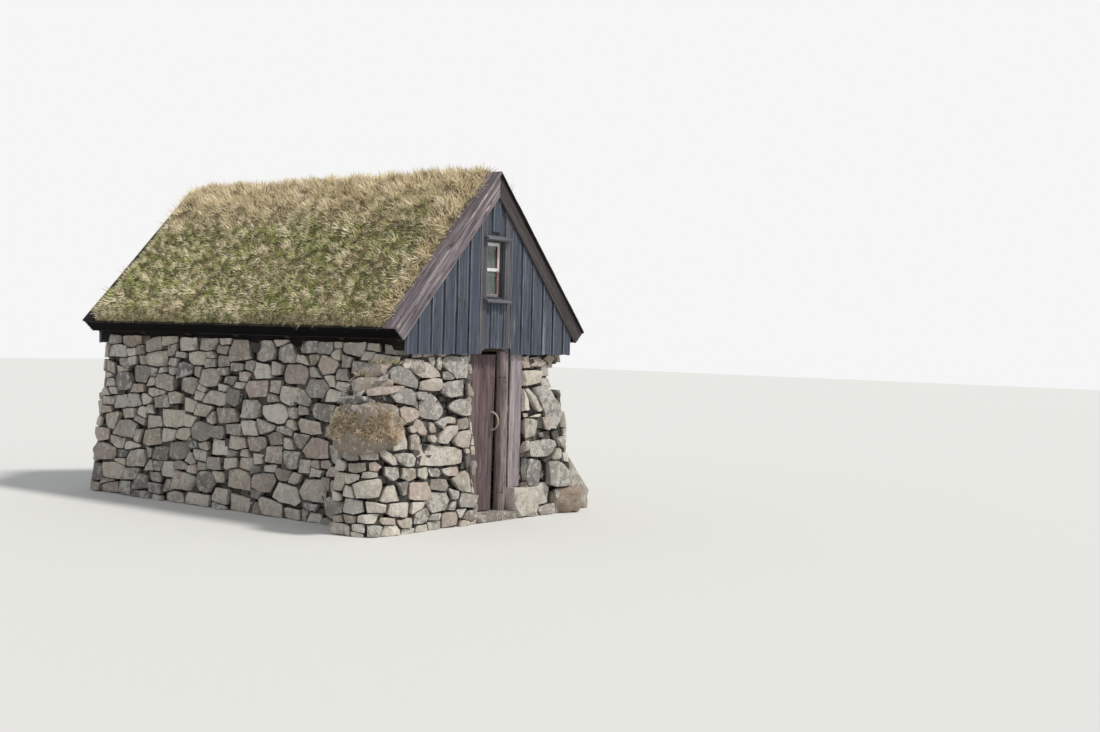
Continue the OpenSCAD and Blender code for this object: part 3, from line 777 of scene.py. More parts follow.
walls = {
    name: Piece()
    for name in ("front_wall_left", "wing_wall", "front_wall_right", "left_wall", "right_wall", "back_wall")
}
for course, side, stones, largest, whose, top in (
    (house, 1, RIGHT_STONES, 0.14, wall_of, house_top),
    (left_front, -1, LEFT_STONES, 0.12, left_front_of, wing_top),
):
    drawn = drawn_on(course, stones, side)
    lay(course, scatter(course, 0.045, largest, as_places(drawn)), whose, top, drawn=drawn)
for course, whose, top in ((house, outer_wall_of, house_top), (left_front, left_front_of, wing_top)):
    lay(course, scatter(course, 0.036, 0.065, tries=9000), whose, top, recess=0.055)


def stone_finish(name, *tones, crusts=0.75):
    """Broken field stone: its own tone, grain, flakes, rusty stains, crusts of pale lichen, and painted shade,
    near black, on what lies deep in the joints.
    """
    paint = Paint(name)
    own_tone = paint.own("stone")
    at = paint.place + own_tone * 37.0
    stops = [(k / (len(tones) - 1), tone(*t)) for k, t in enumerate(tones)]
    body = paint.ramp(own_tone, *stops)
    mottle = paint.noise(5.5, at, 5, 0.62)
    flakes = paint.noise(17, at, 6, 0.7, 0.3)
    grit = paint.noise(75, at, 4, 0.7)
    colour = body * (0.74 * mottle + 1.30 * flakes + 0.70 * grit - 0.29)
    rust = paint.band(paint.noise(3.1, at, 4, 0.6), 0.56, 0.72)
    colour = paint.mix(colour, tone(112, 101, 88), rust * 0.35)
    spread = paint.noise(2.6, at, 3, 0.6)
    patch = paint.noise(13, at, 8, 0.72, 0.15)
    fine = paint.noise(48, at, 4, 0.75)
    growth = patch * 0.95 + fine * 0.3 + spread * 0.4 + paint.own("crust") * 0.11
    lichen = paint.band(growth, 0.87, 0.93) * (0.35 + 0.65 * paint.band(grit, 0.38, 0.58))
    colour = paint.mix(colour, tone(220, 217, 208), lichen * crusts)
    specks = paint.spots(at, 26.0)
    dots = (1 - paint.band(specks + 0.3 * fine, 0.26, 0.38)) * paint.band(paint.noise(4, at, 2), 0.46, 0.60)
    colour = paint.mix(colour, tone(224, 221, 213), dots * crusts)
    height = flakes * 0.8 + grit * 0.4 + mottle * 0.6 + lichen * 0.1
    # painted shade: what lies deep in the wall, the sides of the stones, the set-back stones and the filling, is
    # painted near black
    colour = paint.mix(colour, tone(36, 33, 30), paint.band(paint.own("deep"), 0.05, 0.8) * 0.95)
    return paint.done(colour, 0.93, height, 0.016)


stone_material = stone_finish(
    "field stone",
    (174, 165, 153),
    (126, 121, 117),
    (196, 187, 173),
    (154, 144, 132),
    (104, 101, 100),
    (182, 173, 160),
    (170, 154, 143),
    (142, 137, 131),
    (206, 199, 187),
    (134, 122, 110),
)


# Behind the faces each wall is filled with small stone and earth, packed by hand as the wall
# rises. It is painted near black, as the painted shade in the joints, and shows nowhere else.
FILL = 0.10  # how far the filling lies behind a face
FILL_TOP = HEAD - 0.03
FILL_CORNER, WORN_CORNER = 0.11, 0.42  # how much of a corner has no filling


def core(piece, low, high):
    """The filling between a ring of points at the foot and one at the top, painted near black as shade."""
    n = len(low)
    faces = [tuple(range(n)), tuple(range(2 * n - 1, n - 1, -1))]
    faces += [(k, k + n, (k + 1) % n + n, (k + 1) % n) for k in range(n)]
    # painted shade: the filling carries the full depth, so the stone paint turns it near black
    piece.add(low + high, faces, stone=0.3, deep=1.0, crust=0.0)


def fill(name, corners):
    """The filling of a wall. A corner is (x, y, whether it follows the batter in x, and in y)."""
    lean_x, lean_y = BATTER / FOOT_X * FILL_TOP / KERB, BATTER / FOOT_Y * FILL_TOP / KERB
    low = [(x, y, 0.002) for x, y, _, _ in corners]
    high = [(x * (1 - lean_x * on_x), y * (1 - lean_y * on_y), FILL_TOP) for x, y, on_x, on_y in corners]
    core(walls[name], low, high)


side, end = FOOT_X - FILL, FOOT_Y - FILL
for name, sign in (("left_wall", -1), ("right_wall", 1)):
    outer, inner = sign * side, sign * (ROOM_X + FILL)
    fill(name, [(outer, -ROOM_Y, 1, 0), (outer, ROOM_Y, 1, 0), (inner, ROOM_Y, 0, 0), (inner, -ROOM_Y, 0, 0)])
for name, low_x, high_x, y_sign in (
    ("front_wall_left", -side, DOOR_LEFT - FILL, -1),
    ("front_wall_right", side, DOOR_RIGHT + FILL, -1),
    ("back_wall", -side, side, 1),
):
    near, far = y_sign * (ROOM_Y + FILL), y_sign * end
    bevel = WORN_CORNER if name == "front_wall_right" else FILL_CORNER
    corners = [(low_x, near, 1, 0), (low_x, far - y_sign * bevel, 1, 1)]
    corners.append((low_x + math.copysign(bevel, -low_x), far, 1, 1))
    if name == "back_wall":
        corners += [(high_x - FILL_CORNER, far, 1, 1), (high_x, far - FILL_CORNER, 1, 1)]
        corners.append((high_x, near, 1, 0))
    else:
        corners += [(high_x, far, 0, 1), (high_x, near, 0, 0)]
    fill(name, corners)


# A short wall at the left of the front, whose top steps down away from the house and ends in
# a large mossy stone; boulders at the foot of the right corner; a stone under the board beside
# the log; one flat stone in the doorway. All are field stones, laid dry like the walls.
MOUND = (-1.755, -2.46, 1.08)


def rock(
    piece, seed, centre, size, fine=3, square=1.0, cuts=9, near=0.8, rough=1.0, turn=0.0, flats=(),
    shade=None, crust=0.4,
):
    """A field stone: a ball drawn towards a block, with flat faces broken off it.

    A flat is a direction and the share of the stone's reach in it that is left."""
    own = np.random.default_rng(seed)
    work = bmesh.new()
    bmesh.ops.create_icosphere(work, subdivisions=fine, radius=1)
    at = np.array([v.co for v in work.verts])
    faces = [tuple(v.index for v in f.verts) for f in work.faces]
    work.free()
    at *= 1 + square * (1 / np.abs(at).max(axis=1, keepdims=True) - 1)
    for facing, share in [*flats, *((own.normal(0, 1, 3), own.uniform(near, 1)) for _ in range(cuts))]:
        facing = np.array(facing) / np.linalg.norm(facing)
        reach = at @ facing
        at -= np.maximum(reach - share * reach.max(), 0)[:, None] * facing
    at *= np.array(size) / 2
    c, s = math.cos(turn), math.sin(turn)
    at = at @ np.array([[c, s, 0], [-s, c, 0], [0, 0, 1]]) + np.array(centre)
    at = roughen(at, (0.16, 0.012 * rough), (0.05, 0.007 * rough), (0.018, 0.003 * rough))
    at[:, 2] = np.maximum(at[:, 2], LOWEST)
    piece.add(at, faces, stone=own.random() if shade is None else shade, deep=0.0, crust=crust)


rock(
    walls["front_wall_right"], 1, (0.53, -2.62, 0.165), (0.40, 0.30, 0.335),
    cuts=10, near=0.84, shade=0.0, crust=0.8,
)
wing_piece = walls["wing_wall"]
wing_foot = [(-1.3, -2.64), (-1.76, -2.64), (-1.88, -2.51), (-1.88, -2.24), (-1.3, -2.24)]
wing_head = [
    (x * 0.96, y * 0.97, min(float(np.interp(x * 0.96, *WING_TOP)), 1.72) - 0.15) for x, y in wing_foot
]
core(wing_piece, [(x, y, 0.002) for x, y in wing_foot], wing_head)
for seed, (centre, size, turn, shade) in enumerate((
    ((-1.46, -2.38, 1.66), (0.36, 0.30, 0.19), 0.2, 0.67),
    ((-1.64, -2.42, 1.50), (0.30, 0.40, 0.18), 0.9, 0.33),
    ((-1.83, -2.40, 1.36), (0.24, 0.32, 0.09), 0.1, 0.44),
    ((-1.64, -2.30, 1.42), (0.26, 0.24, 0.20), 0.5, 0.78),
    ((-1.65, -2.30, 1.29), (0.24, 0.22, 0.22), 0.2, 0.55),
    ((-1.53, -2.28, 1.34), (0.16, 0.20, 0.30), 0.0, 0.11),
), start=11):
    rock(wing_piece, seed, centre, size, near=0.78, turn=turn, shade=shade)
mound = Piece()
rock(mound, 21, MOUND, (0.52, 0.60, 0.54), fine=4, square=0.6, near=0.84, turn=0.1)
wing_piece.add(mound.points[0], mound.faces, stone=1.0, deep=0.0, crust=0.1)
for name, wall in walls.items():
    wall.make(name + "_stones", "house", "stone", stone_material, [name], sharp=38)

boulders = Piece()
rock(
    boulders, 31, (1.60, -2.46, 0.33), (0.42, 0.44, 0.68), fine=4,
    flats=(((0.43, -0.55, 0.7), 0.46), ((0.9, 0.3, 0.45), 0.6)), shade=0.34, crust=0.3,
)
rock(boulders, 32, (1.75, -2.20, 0.20), (0.47, 0.42, 0.42), square=0.8, turn=0.3, shade=0.78)
boulders.make("corner_boulders", "house", "boulder_stone", stone_material, ["corner_boulder"], sharp=38)
brown_stone = stone_finish("brown boulder", (130, 116, 103), (146, 130, 115), crusts=0.35)
foot = Piece()
rock(
    foot, 41, (1.26, -2.70, 0.145), (0.48, 0.33, 0.30), fine=4, square=0.55,
    near=0.84, turn=-0.5, rough=1.4,
)
foot.make("corner_foot_boulder", "house", "boulder_stone", brown_stone, sharp=60)
threshold = Piece()
rock(
    threshold, 51, (0.03, -2.48, 0.042), (0.72, 0.54, 0.088), fine=4, square=0.96, cuts=6,
    near=0.88, rough=0.5, shade=0.4,
)
threshold.make("threshold_slab", "house", "stone", stone_material, ["threshold_stone"], sharp=38)


# Sawn softwood: plates on the wall heads, pairs of rafters, a beam across each gable and the
# boards that carry the turf. It is untreated and brown inside, and stays as built, but the plates
# are painted near black, as painted shade under the eaves.
ROOF_HALF, ROOF_RISE = 1.60, 1.74
SLOPE = math.atan(ROOF_RISE / ROOF_HALF)
SIN, COS = math.sin(SLOPE), math.cos(SLOPE)
ROOF_BOARD = 0.15
ALONG_X, ALONG_Y = (0, 0, 0), (0, 0, math.pi / 2)


def timber(
    name, dark, light, worn, wear=0.5, crack=1.0, knots=0.6, roughness=0.86, depth=0.004, turn=None,
    edges=0.0, tint=None, seams=None, gloss=0.35,
):
    """Wood in a dark and a light tone, with a worn one that shows in streaks and on the edges.

    Its fibres run along the first axis of the board's own measure, or of a turned place.
    Seams are (direction across the boards, their width), on a plain solid that stands for many;
    they are painted near black, as the shade in the gaps between the boards."""
    dark, light, worn = tone(*dark), tone(*light), tone(*worn)
    paint = Paint(name)
    if turn is None:
        at = paint.own("grain", "Vector")
    else:
        inputs = {"Vector": paint.place, "Rotation": turn}
        at = paint.node("ShaderNodeMapping", {"vector_type": "TEXTURE"}, inputs)
    fibre = paint.noise(1.0, at * (5.0, 150.0, 150.0), 4, 0.62)
    vein = paint.noise(1.0, at * (1.3, 30.0, 30.0), 4, 0.6, 0.5)
    patch = paint.noise(1.0, at * (1.1, 4.0, 4.0), 3, 0.6)
    gap = paint.noise(1.0, at * (1.7, 46.0, 46.0), 2, 0.5, 0.3)
    split = 1 - paint.band(paint.maths("ABSOLUTE", gap - 0.5), 0.004, 0.02)
    split = split * paint.band(patch, 0.42, 0.6) * crack
    knot = (1 - paint.band(paint.spots(at * (2.3, 7.5, 7.5), 1.0), 0.07, 0.15)) * knots
    colour = paint.mix(dark, light, paint.band(vein * 0.8 + fibre * 0.4 + patch * 0.2, 0.50, 0.90))
    if tint is not None:
        colour = paint.mix(colour, tone(*tint), paint.band(patch, 0.4, 0.75) * 0.6)
    rub = paint.band(vein * 0.5 + patch * 0.45 + fibre * 0.25, 0.66, 0.80) * wear
    if edges:
        bare = paint.own("edge") * edges * paint.band(vein + fibre * 0.6, 0.5, 0.95)
        rub = paint.maths("MINIMUM", rub + bare, 1.0)
    colour = paint.mix(colour, worn, rub)
    colour = paint.mix(colour, tuple(c * 0.35 for c in dark), knot * 0.8)
    colour = paint.mix(colour, tuple(c * 0.22 for c in dark), paint.maths("MINIMUM", split, 1.0) * 0.85)
    height = fibre * 0.35 + vein * 0.55 - split * 0.8 + knot * 0.3
    if seams is not None:
        across, width = seams
        inputs = {0: paint.place, 1: across}
        along = paint.node("ShaderNodeVectorMath", {"operation": "DOT_PRODUCT"}, inputs, output="Value")
        # painted shade: the gaps between the boards are painted near black
        seam = 1 - paint.band(paint.maths("PINGPONG", along, width / 2), 0.002, 0.005)
        colour = paint.mix(colour, tuple(c * 0.15 for c in dark), seam)
        height = height - seam * 2.0
    return paint.done(colour, roughness, height, depth, Specular_IOR_Level=gloss)


def down(side):
    """The direction down the left (-1) or right (1) slope."""
    return side * COS, 0, -SIN


def into(side):
    """The direction straight into a slope from above."""
    return -side * SIN, 0, -COS


def dress(paint, *names):
    """Gives plain solids that show as they are their material."""
    for name in names:
        nodes[name].data.materials.clear()
        nodes[name].data.materials.append(paint)


brown_tones = (38, 31, 27), (74, 60, 49), (104, 90, 76)
# painted shade: the plates are painted near black, darker than the timber is, as the shade under the eaves
plate_shade_tones = (16, 14, 13), (34, 29, 26), (60, 52, 46)
for name, tones, turn, seams, members in (
    ("plates on the wall heads", plate_shade_tones, ALONG_Y, None, ("plate_left", "plate_right")),
    ("left roof boards", brown_tones, ALONG_Y, (down(-1), ROOF_BOARD), ("roof_boards_left",)),
    ("right roof boards", brown_tones, ALONG_Y, (down(1), ROOF_BOARD), ("roof_boards_right",)),
    ("timber across the house", brown_tones, ALONG_X, None, ("front_gable_beam", "back_gable_beam")),
    ("right rafters", brown_tones, (0, SLOPE, 0), None, ("rafters_right",)),
    ("left rafters", brown_tones, (0, -SLOPE, 0), None, ("rafters_left",)),
):
    dress(timber(name, *tones, wear=0.4, turn=turn, seams=seams, gloss=0.2), *members)


# Two boards on each side of each gable: one upright on the gable's face, and one lying flat on
# the edge of the turf. A tarred board closes the turf along each eave, in two lengths; it is
# painted darker than tar, near black, as painted shade under the eave, and its pale worn edges
# are wear and a painted highlight where its lower edge catches light.
APEX = 3.85
SLOPE_L = math.hypot(ROOF_HALF, ROOF_RISE)
FRONT = -2.71
VERGE_T, VERGE_D = 0.025, 0.190
FLAT_W = 0.200
COLUMNS = 13


def ring_faces(rings, sides):
    """Faces between the rings of a closed form, and the fans that close its two ends."""
    faces = []
    last = (rings - 1) * sides
    for k in range(sides):
        on = (k + 1) % sides
        faces.append((rings * sides, on, k))
        faces += [(r + k, r + on, r + sides + on, r + sides + k) for r in range(0, last, sides)]
        faces.append((rings * sides + 1, last + k, last + on))
    return faces


def closed(rings, *ends):
    """The points of a form's rings in one list, with a point at the middle of each end."""
    return np.concatenate([*rings, ends or (rings[0].mean(axis=0), rings[-1].mean(axis=0))])


def waver(reach, u, row):
    """How far an edge strays from its line, in long waves and in short ones."""
    slow = noise.noise(Vector((u * 2.3, row, 0)))
    return reach * slow + reach * 0.5 * noise.noise(Vector((u * 11, row, 9)))


def board(
    piece, origin, along, across, out, width, thick, start, end, wave=0.0025, ragged=0.0,
    step=0.03, bevel=0.003, taper=0.0, bow=0.0015,
):
    """A plank in its own measure: u along it, v across it and w out of its face.

    start and end give u where the plank is cut, for each (v, w); its long edges waver a little."""
    rim = bevel + 0.012
    section = np.array([
        (0, -bevel), (bevel, 0), (rim, 0), (0.3 * width, 0), (0.5 * width, 0), (0.7 * width, 0),
        (width - rim, 0), (width - bevel, 0), (width, -bevel), (width, bevel - thick),
        (width - bevel, -thick), (bevel, -thick), (0, bevel - thick),
    ])
    v, w = section.T
    edge = np.array([1, 1, 0, 0, 0, 0, 0, 1, 1, 0.6, 0.3, 0.3, 0.6])
    u0 = np.broadcast_to(start(v, w), v.shape) + ragged * rng.uniform(-1, 1, len(v)) * (v > 0)
    u1 = np.broadcast_to(end(v, w), v.shape)
    n = max(2, int(math.ceil(float(np.max(u1 - u0)) / step)))
    shift = rng.uniform(0, 40, 3)
    share = v / width
    rings = []
    for k in range(n + 1):
        u = u0 + (u1 - u0) * k / n
        mean = float(u.mean())
        left, right = (waver(wave, mean, row) for row in shift[:2])
        lift = [0.0006 * noise.noise(Vector((mean * 6, a * 60, shift[2]))) for a in v]
        rise = bow * noise.noise(Vector((mean * 0.9, shift[2], 3)))
        edge_v = v + left * (1 - share) + right * share - taper * share * (1 - k / n)
        rings.append(np.stack([u, edge_v, w + np.array(lift) + rise], axis=1))
    rings = closed(rings)
    points = np.array(origin, float) + rings @ np.array([along, across, out], float)
    # the two ends of a plank show paler end grain
    edges = np.concatenate([np.tile(edge, n + 1), [0.8, 0.8]])
    piece.add(points, ring_faces(n + 1, COLUMNS), grain=rings + rng.uniform(0, 60, 3), edge=edges)


def square_cut(value):
    """A cut straight across a plank, the same at each of its edges."""
    return lambda v, w: value


pale_verge = timber(
    "weathered verge", (74, 67, 72), (154, 144, 150), (204, 196, 192),
    wear=0.85, crack=1.5, depth=0.008, edges=0.15, tint=(122, 108, 106),
)
dark_verge = timber(
    "dark verge", (46, 42, 42), (84, 78, 77), (108, 98, 92), wear=0.35, edges=0.5,
)
# tar, painted near black as painted shade under the eave; its pale edges are wear and a painted highlight along
# the lower edge
tarred = timber(
    "tarred eave", (5, 5, 6), (12, 11, 11), (74, 68, 62),
    wear=0.12, crack=0.6, edges=0.9, roughness=0.9, gloss=0.1,
)
black_verge = timber(
    "black verge edge", (14, 13, 14), (34, 31, 31), (84, 78, 74),
    wear=0.3, crack=0.8, edges=0.2, gloss=0.2,
)
for end_name, end_sign in (("front", -1), ("back", 1)):
    for side_name, side in (("left", -1), ("right", 1)):
        pale = end_sign == side
        slot = "verge_wood_pale" if pale else "verge_wood_dark"
        upright, flat = Piece(), Piece()
        board(
            upright, np.array((0, end_sign * (-FRONT - 0.020), APEX)) + np.array(into(side)) * VERGE_T,
            down(side), into(side), (0, end_sign, 0), VERGE_D - VERGE_T, VERGE_T,
            lambda v, w: (VERGE_T + v) * math.tan(SLOPE), square_cut(SLOPE_L), wave=0.004,
        )
        node = f"{end_name}_barge_{side_name}"
        upright.make(node + "_plank", "house", slot, pale_verge if pale else dark_verge, [node])
        board(
            flat, (0, end_sign * -FRONT, APEX), down(side), (0, -end_sign, 0),
            tuple(-c for c in into(side)), FLAT_W, VERGE_T,
            lambda v, w: -w * math.tan(SLOPE), square_cut(SLOPE_L), wave=0.006,
        )
        node = f"{end_name}_top_board_{side_name}"
        flat.make(node + "_plank", "house", slot, pale_verge if pale else black_verge, [node])
for side_name, side in (("left", -1), ("right", 1)):
    eave = Piece()
    start_y = FRONT + 0.045
    joint_y = 0.42 * side
    foot = np.array((side * SLOPE_L * COS, 0, APEX - SLOPE_L * SIN)) + np.array(into(side)) * VERGE_T
    for low, high in ((start_y, joint_y - 0.002), (joint_y + 0.002, -start_y)):
        board(
            eave, foot, (0, 1, 0), into(side), down(side), VERGE_D - VERGE_T, VERGE_T,
            square_cut(low), square_cut(high), wave=0.004, bow=0.002,
        )
    node = f"eave_board_{side_name}"
    eave.make(node + "_planks", "house", "eave_wood", tarred, [node])


# Board on board: inner boards edge to edge, and outer boards nailed over their joints, tarred
# blue-black and worn by the weather. Every board runs from over the wall head to the roof.
BOARDING_HALF = 1.385
BOARD_T = 0.022
BOARD_W, BOARD_PITCH = 0.156, 0.196
BOARDING_LOW = HEAD - 0.03
OUTER_Y, INNER_Y = FRONT + 0.045, FRONT + 0.067
NOTCH = (-0.22, 0.28, BOARDING_LOW + 0.065)  # where the boards are cut up over the door
WINDOW_HALF, WINDOW_LOW, WINDOW_TOP = 0.155, 2.45, 3.09
CASING_W = 0.102
ROOF_UNDER = 0.1503  # from the top of the verge boards to the underside of the roof boards
GAP = 0.001


def roof_line(x):
    """How high the underside of the roof is over a place on the gable."""
    return APEX - np.abs(x) * math.tan(SLOPE) - ROOF_UNDER / COS


def siding(piece, x0, x1, inner, end_sign=-1, low=None, high=None, **shape):
    """One upright board of a gable between x0 and x1."""
    y = (INNER_Y if inner else OUTER_Y) * -end_sign
    foot = low if low is not None else BOARDING_LOW
    notched = end_sign < 0 and low is None

    def cut_low(v, w):
        x = x0 + v
        return np.where((x > NOTCH[0]) & (x < NOTCH[1]) & notched, NOTCH[2], foot)

    def cut_high(v, w):
        return roof_line(x0 + v) if high is None else high + 0 * v

    board(
        piece, (x0, y, 0), (0, 0, 1), (1, 0, 0), (0, end_sign, 0), x1 - x0, BOARD_T,
        cut_low, cut_high, **shape,
    )


tarred_siding = timber(
    "tarred siding", (52, 58, 70), (87, 94, 109), (146, 150, 158),
    wear=0.75, knots=0.5, edges=0.8, depth=0.003, tint=(82, 84, 90),
)
casing_wood = timber(
    "worn casing", (66, 68, 76), (98, 98, 105), (150, 143, 140),
    wear=0.8, crack=0.6, edges=0.6, depth=0.003,
)
first_centre = WINDOW_HALF + CASING_W + BOARD_PITCH / 2 - 0.006
centres = [first_centre + k * BOARD_PITCH for k in range(6)]
for name, side in (("front_gable_left", -1), ("front_gable_right", 1)):
    gable = Piece()
    edges = [WINDOW_HALF, *centres, BOARDING_HALF]
    for a, b in zip(edges, edges[1:]):
        low_x, high_x = sorted((side * (a + GAP), side * (b - GAP)))
        siding(gable, low_x, high_x, True, ragged=0.006, wave=0.001)
    for c in centres:
        low_x, high_x = sorted((side * (c - BOARD_W / 2), side * min(c + BOARD_W / 2, BOARDING_HALF)))
        low_x, high_x = low_x + rng.uniform(-0.004, 0.004), high_x + rng.uniform(-0.004, 0.0)
        siding(gable, low_x, high_x, False, ragged=0.009, wave=0.003)
    gable.make(name + "_boards", "house", "gable_wood", tarred_siding, [name])
middle = Piece()
SILL_UNDER = WINDOW_LOW - 0.05
for low, high, raised in ((NOTCH[2], SILL_UNDER, 0), (WINDOW_TOP, None, 0.095)):
    siding(middle, -WINDOW_HALF + GAP, WINDOW_HALF - GAP, True, low=low, high=high, ragged=0.004)
    siding(middle, -0.062, 0.062, False, low=low + raised, high=high, ragged=0.004)
middle.make("front_gable_middle_boards", "house", "gable_wood", tarred_siding, ["front_gable_middle"])
casings = Piece()
for x0 in (-WINDOW_HALF - CASING_W, WINDOW_HALF):
    siding(casings, x0, x0 + CASING_W, False, ragged=0.004)
casings.make("window_casing_boards", "house", "casing_wood", casing_wood, ["window_casings"])
back = Piece()
joints = [-c for c in reversed(centres)] + [-0.186, 0, 0.186] + centres
edges = [-BOARDING_HALF, *joints, BOARDING_HALF]
for a, b in zip(edges, edges[1:]):
    siding(back, a + GAP, b - GAP, True, end_sign=1, ragged=0.006, wave=0.001)
for c in joints:
    low_x, high_x = max(c - BOARD_W / 2, -BOARDING_HALF), min(c + BOARD_W / 2, BOARDING_HALF)
    siding(back, low_x, high_x, False, end_sign=1, ragged=0.009, wave=0.003)
back.make("back_gable_planks", "house", "gable_wood", tarred_siding, ["back_gable_boards"])


# One fixed sash with two panes, set deep in a board lining between the casings, under a
# moulded head and over a sloping sill with horns. The white paint has gone from its lower half.
LINING_T, LINING_Y, LINING_D = 0.018, OUTER_Y + 0.022, 0.098
SASH_HALF = WINDOW_HALF - LINING_T
SASH_LOW, SASH_TOP = WINDOW_LOW + LINING_T, WINDOW_TOP - LINING_T
SASH_FACE, SASH_T, SASH_BAR = LINING_Y + 0.048, 0.035, 0.038
PANE_H = (SASH_TOP - SASH_LOW - 3 * SASH_BAR) / 2
PROUD = 0.060  # how far the head and the sill stand out of the boarding
HORN = WINDOW_HALF + CASING_W / 2  # how far they reach to each side
BEAD_W, BEAD_T = 0.012, 0.0085


def standing(piece, x, y, width, thick, low, high, **shape):
    """A plank that stands upright and faces the front, from its left edge at x."""
    cuts = square_cut(low), square_cut(high)
    board(piece, (x, y, 0), (0, 0, 1), (1, 0, 0), (0, -1, 0), width, thick, *cuts, **shape)


def lying(piece, y, z, height, thick, left, right, **shape):
    """A level plank that faces the front, from its lower edge at z."""
    cuts = square_cut(left), square_cut(right)
    board(piece, (0, y, z), (1, 0, 0), (0, 0, 1), (0, -1, 0), height, thick, *cuts, **shape)


def profile(piece, outline, trim=None):
    """A moulding between the horns: an outline of (y, z), with slightly uneven edges."""
    outline = np.array(outline)
    n = int(math.ceil(2 * HORN / 0.02))
    rings = []
    for k in range(n + 1):
        x = -HORN + 2 * HORN * k / n
        y, z = outline.T
        y = y + 0.0015 * np.array([noise.noise(Vector((x * 9, a * 30, b * 30))) for a, b in outline])
        z = z + 0.0015 * np.array([noise.noise(Vector((x * 9 + 5, a * 30, b * 30))) for a, b in outline])
        if trim:
            y = trim(x, y)
        rings.append(np.stack([np.full(len(y), x), y, z], axis=1))
    rings = closed(rings)
    piece.add(rings, ring_faces(n + 1, len(outline)), grain=rings + rng.uniform(0, 60, 3), edge=0.5)


def chamfered(outline, size):
    """The outline with each corner cut off, which gives a moulding its soft arrises."""
    points = []
    n = len(outline)
    for k in range(n):
        here = np.array(outline[k])
        for other in (outline[k - 1], outline[(k + 1) % n]):
            away = np.array(other) - here
            points.append(here + away / np.linalg.norm(away) * min(size, np.linalg.norm(away) * 0.4))
    return points


window_wood = timber(
    "painted window board", (44, 47, 56), (76, 80, 92), (140, 140, 144),
    wear=0.6, crack=0.4, knots=0.2, edges=0.8, depth=0.002,
)
lip, back_y = OUTER_Y - PROUD, LINING_Y + LINING_D
head, sill = Piece(), Piece()
profile(head, chamfered([
    (OUTER_Y, WINDOW_TOP - 0.005), (OUTER_Y, WINDOW_TOP + 0.05), (OUTER_Y - PROUD * 0.45, WINDOW_TOP + 0.04),
    (lip, WINDOW_TOP + 0.022), (lip, WINDOW_TOP + 0.008), (lip + 0.024, WINDOW_TOP + 0.008),
    (lip + 0.033, WINDOW_TOP - 0.005),
], 0.003))
head.make("window_head_moulding", "house", "casing_wood", window_wood, ["window_head"])
profile(sill, chamfered([
    (lip, WINDOW_LOW - 0.046), (lip, WINDOW_LOW - 0.016), (LINING_Y, WINDOW_LOW), (back_y, WINDOW_LOW),
    (back_y, WINDOW_LOW - 0.05), (lip + 0.014, WINDOW_LOW - 0.05),
], 0.005), trim=lambda x, y: np.minimum(y, OUTER_Y - 0.001) if abs(x) > WINDOW_HALF else y)
sill.make("window_sill_board", "house", "casing_wood", window_wood, ["window_sill"])

lining_wood = timber(
    "dark lining", (44, 46, 52), (70, 72, 80), (104, 100, 100),
    wear=0.6, crack=0.4, knots=0.2, edges=0.5, depth=0.002,
)
lining = Piece()
for x0 in (-WINDOW_HALF, WINDOW_HALF - LINING_T):
    standing(lining, x0, LINING_Y, LINING_T, LINING_D, WINDOW_LOW, WINDOW_TOP, wave=0, bevel=0.001)
for z0 in (WINDOW_LOW, WINDOW_TOP - LINING_T):
    lying(lining, LINING_Y, z0, LINING_T, LINING_D, -SASH_HALF, SASH_HALF, wave=0, bevel=0.001)
lining.make("window_lining_boards", "house", "casing_wood", lining_wood, ["window_lining"])


def sash_finish():
    """White oil paint, cracked and flaking off grey wood, most of all on the lower half."""
    paint = Paint("flaking white paint")
    grain = paint.own("grain", "Vector")
    fibre = paint.noise(1.0, grain * (6.0, 160.0, 160.0), 4, 0.6)
    wood = paint.mix(tone(96, 92, 92), tone(150, 145, 142), fibre)
    white = paint.mix(tone(206, 204, 200), tone(244, 243, 240), paint.noise(22, paint.place, 4, 0.6))
    level = paint.node("ShaderNodeSeparateXYZ", inputs={0: paint.place}, output=2)
    low = 1 - paint.band(level, WINDOW_LOW + 0.27, WINDOW_LOW + 0.33)
    loose = paint.noise(38, paint.place, 5, 0.65) + 0.5 * paint.noise(1.0, grain * (8.0, 90.0, 90.0), 3)
    flaked = paint.band(loose + low * 0.34 + paint.own("edge") * 0.04, 0.95, 1.00)
    height = (1 - flaked) * 0.8 + paint.noise(90, paint.place, 3) * 0.3
    return paint.done(paint.mix(white, wood, flaked), 0.55 + 0.3 * flaked, height, 0.0012)


sash = Piece()
inner_half = SASH_HALF - SASH_BAR
for x0 in (-SASH_HALF, inner_half):
    standing(sash, x0, SASH_FACE, SASH_BAR, SASH_T, SASH_LOW, SASH_TOP, wave=0.0008)
for k in range(3):
    lying(
        sash, SASH_FACE + 0.0015, SASH_LOW + k * (PANE_H + SASH_BAR), SASH_BAR, SASH_T - 0.003,
        -inner_half - 0.002, inner_half + 0.002, wave=0.0008,
    )
sash.make("window_sash_bars", "house", "sash_paint", sash_finish(), ["window_sash"])
bead_wood = timber(
    "red beads", (86, 40, 34), (126, 58, 48), (140, 110, 98),
    wear=0.5, crack=0.4, knots=0.2, edges=0.6, depth=0.002,
)
beads = Piece()
for k in range(2):
    z0 = SASH_LOW + SASH_BAR + k * (PANE_H + SASH_BAR)
    span = z0 + GAP, z0 + PANE_H - GAP
    for x0 in (-inner_half, inner_half - BEAD_W):
        standing(beads, x0, SASH_FACE + 0.007, BEAD_W, BEAD_T, *span, wave=0, bevel=0.0015)
beads.make("window_glazing_beads", "house", "casing_wood", bead_wood)

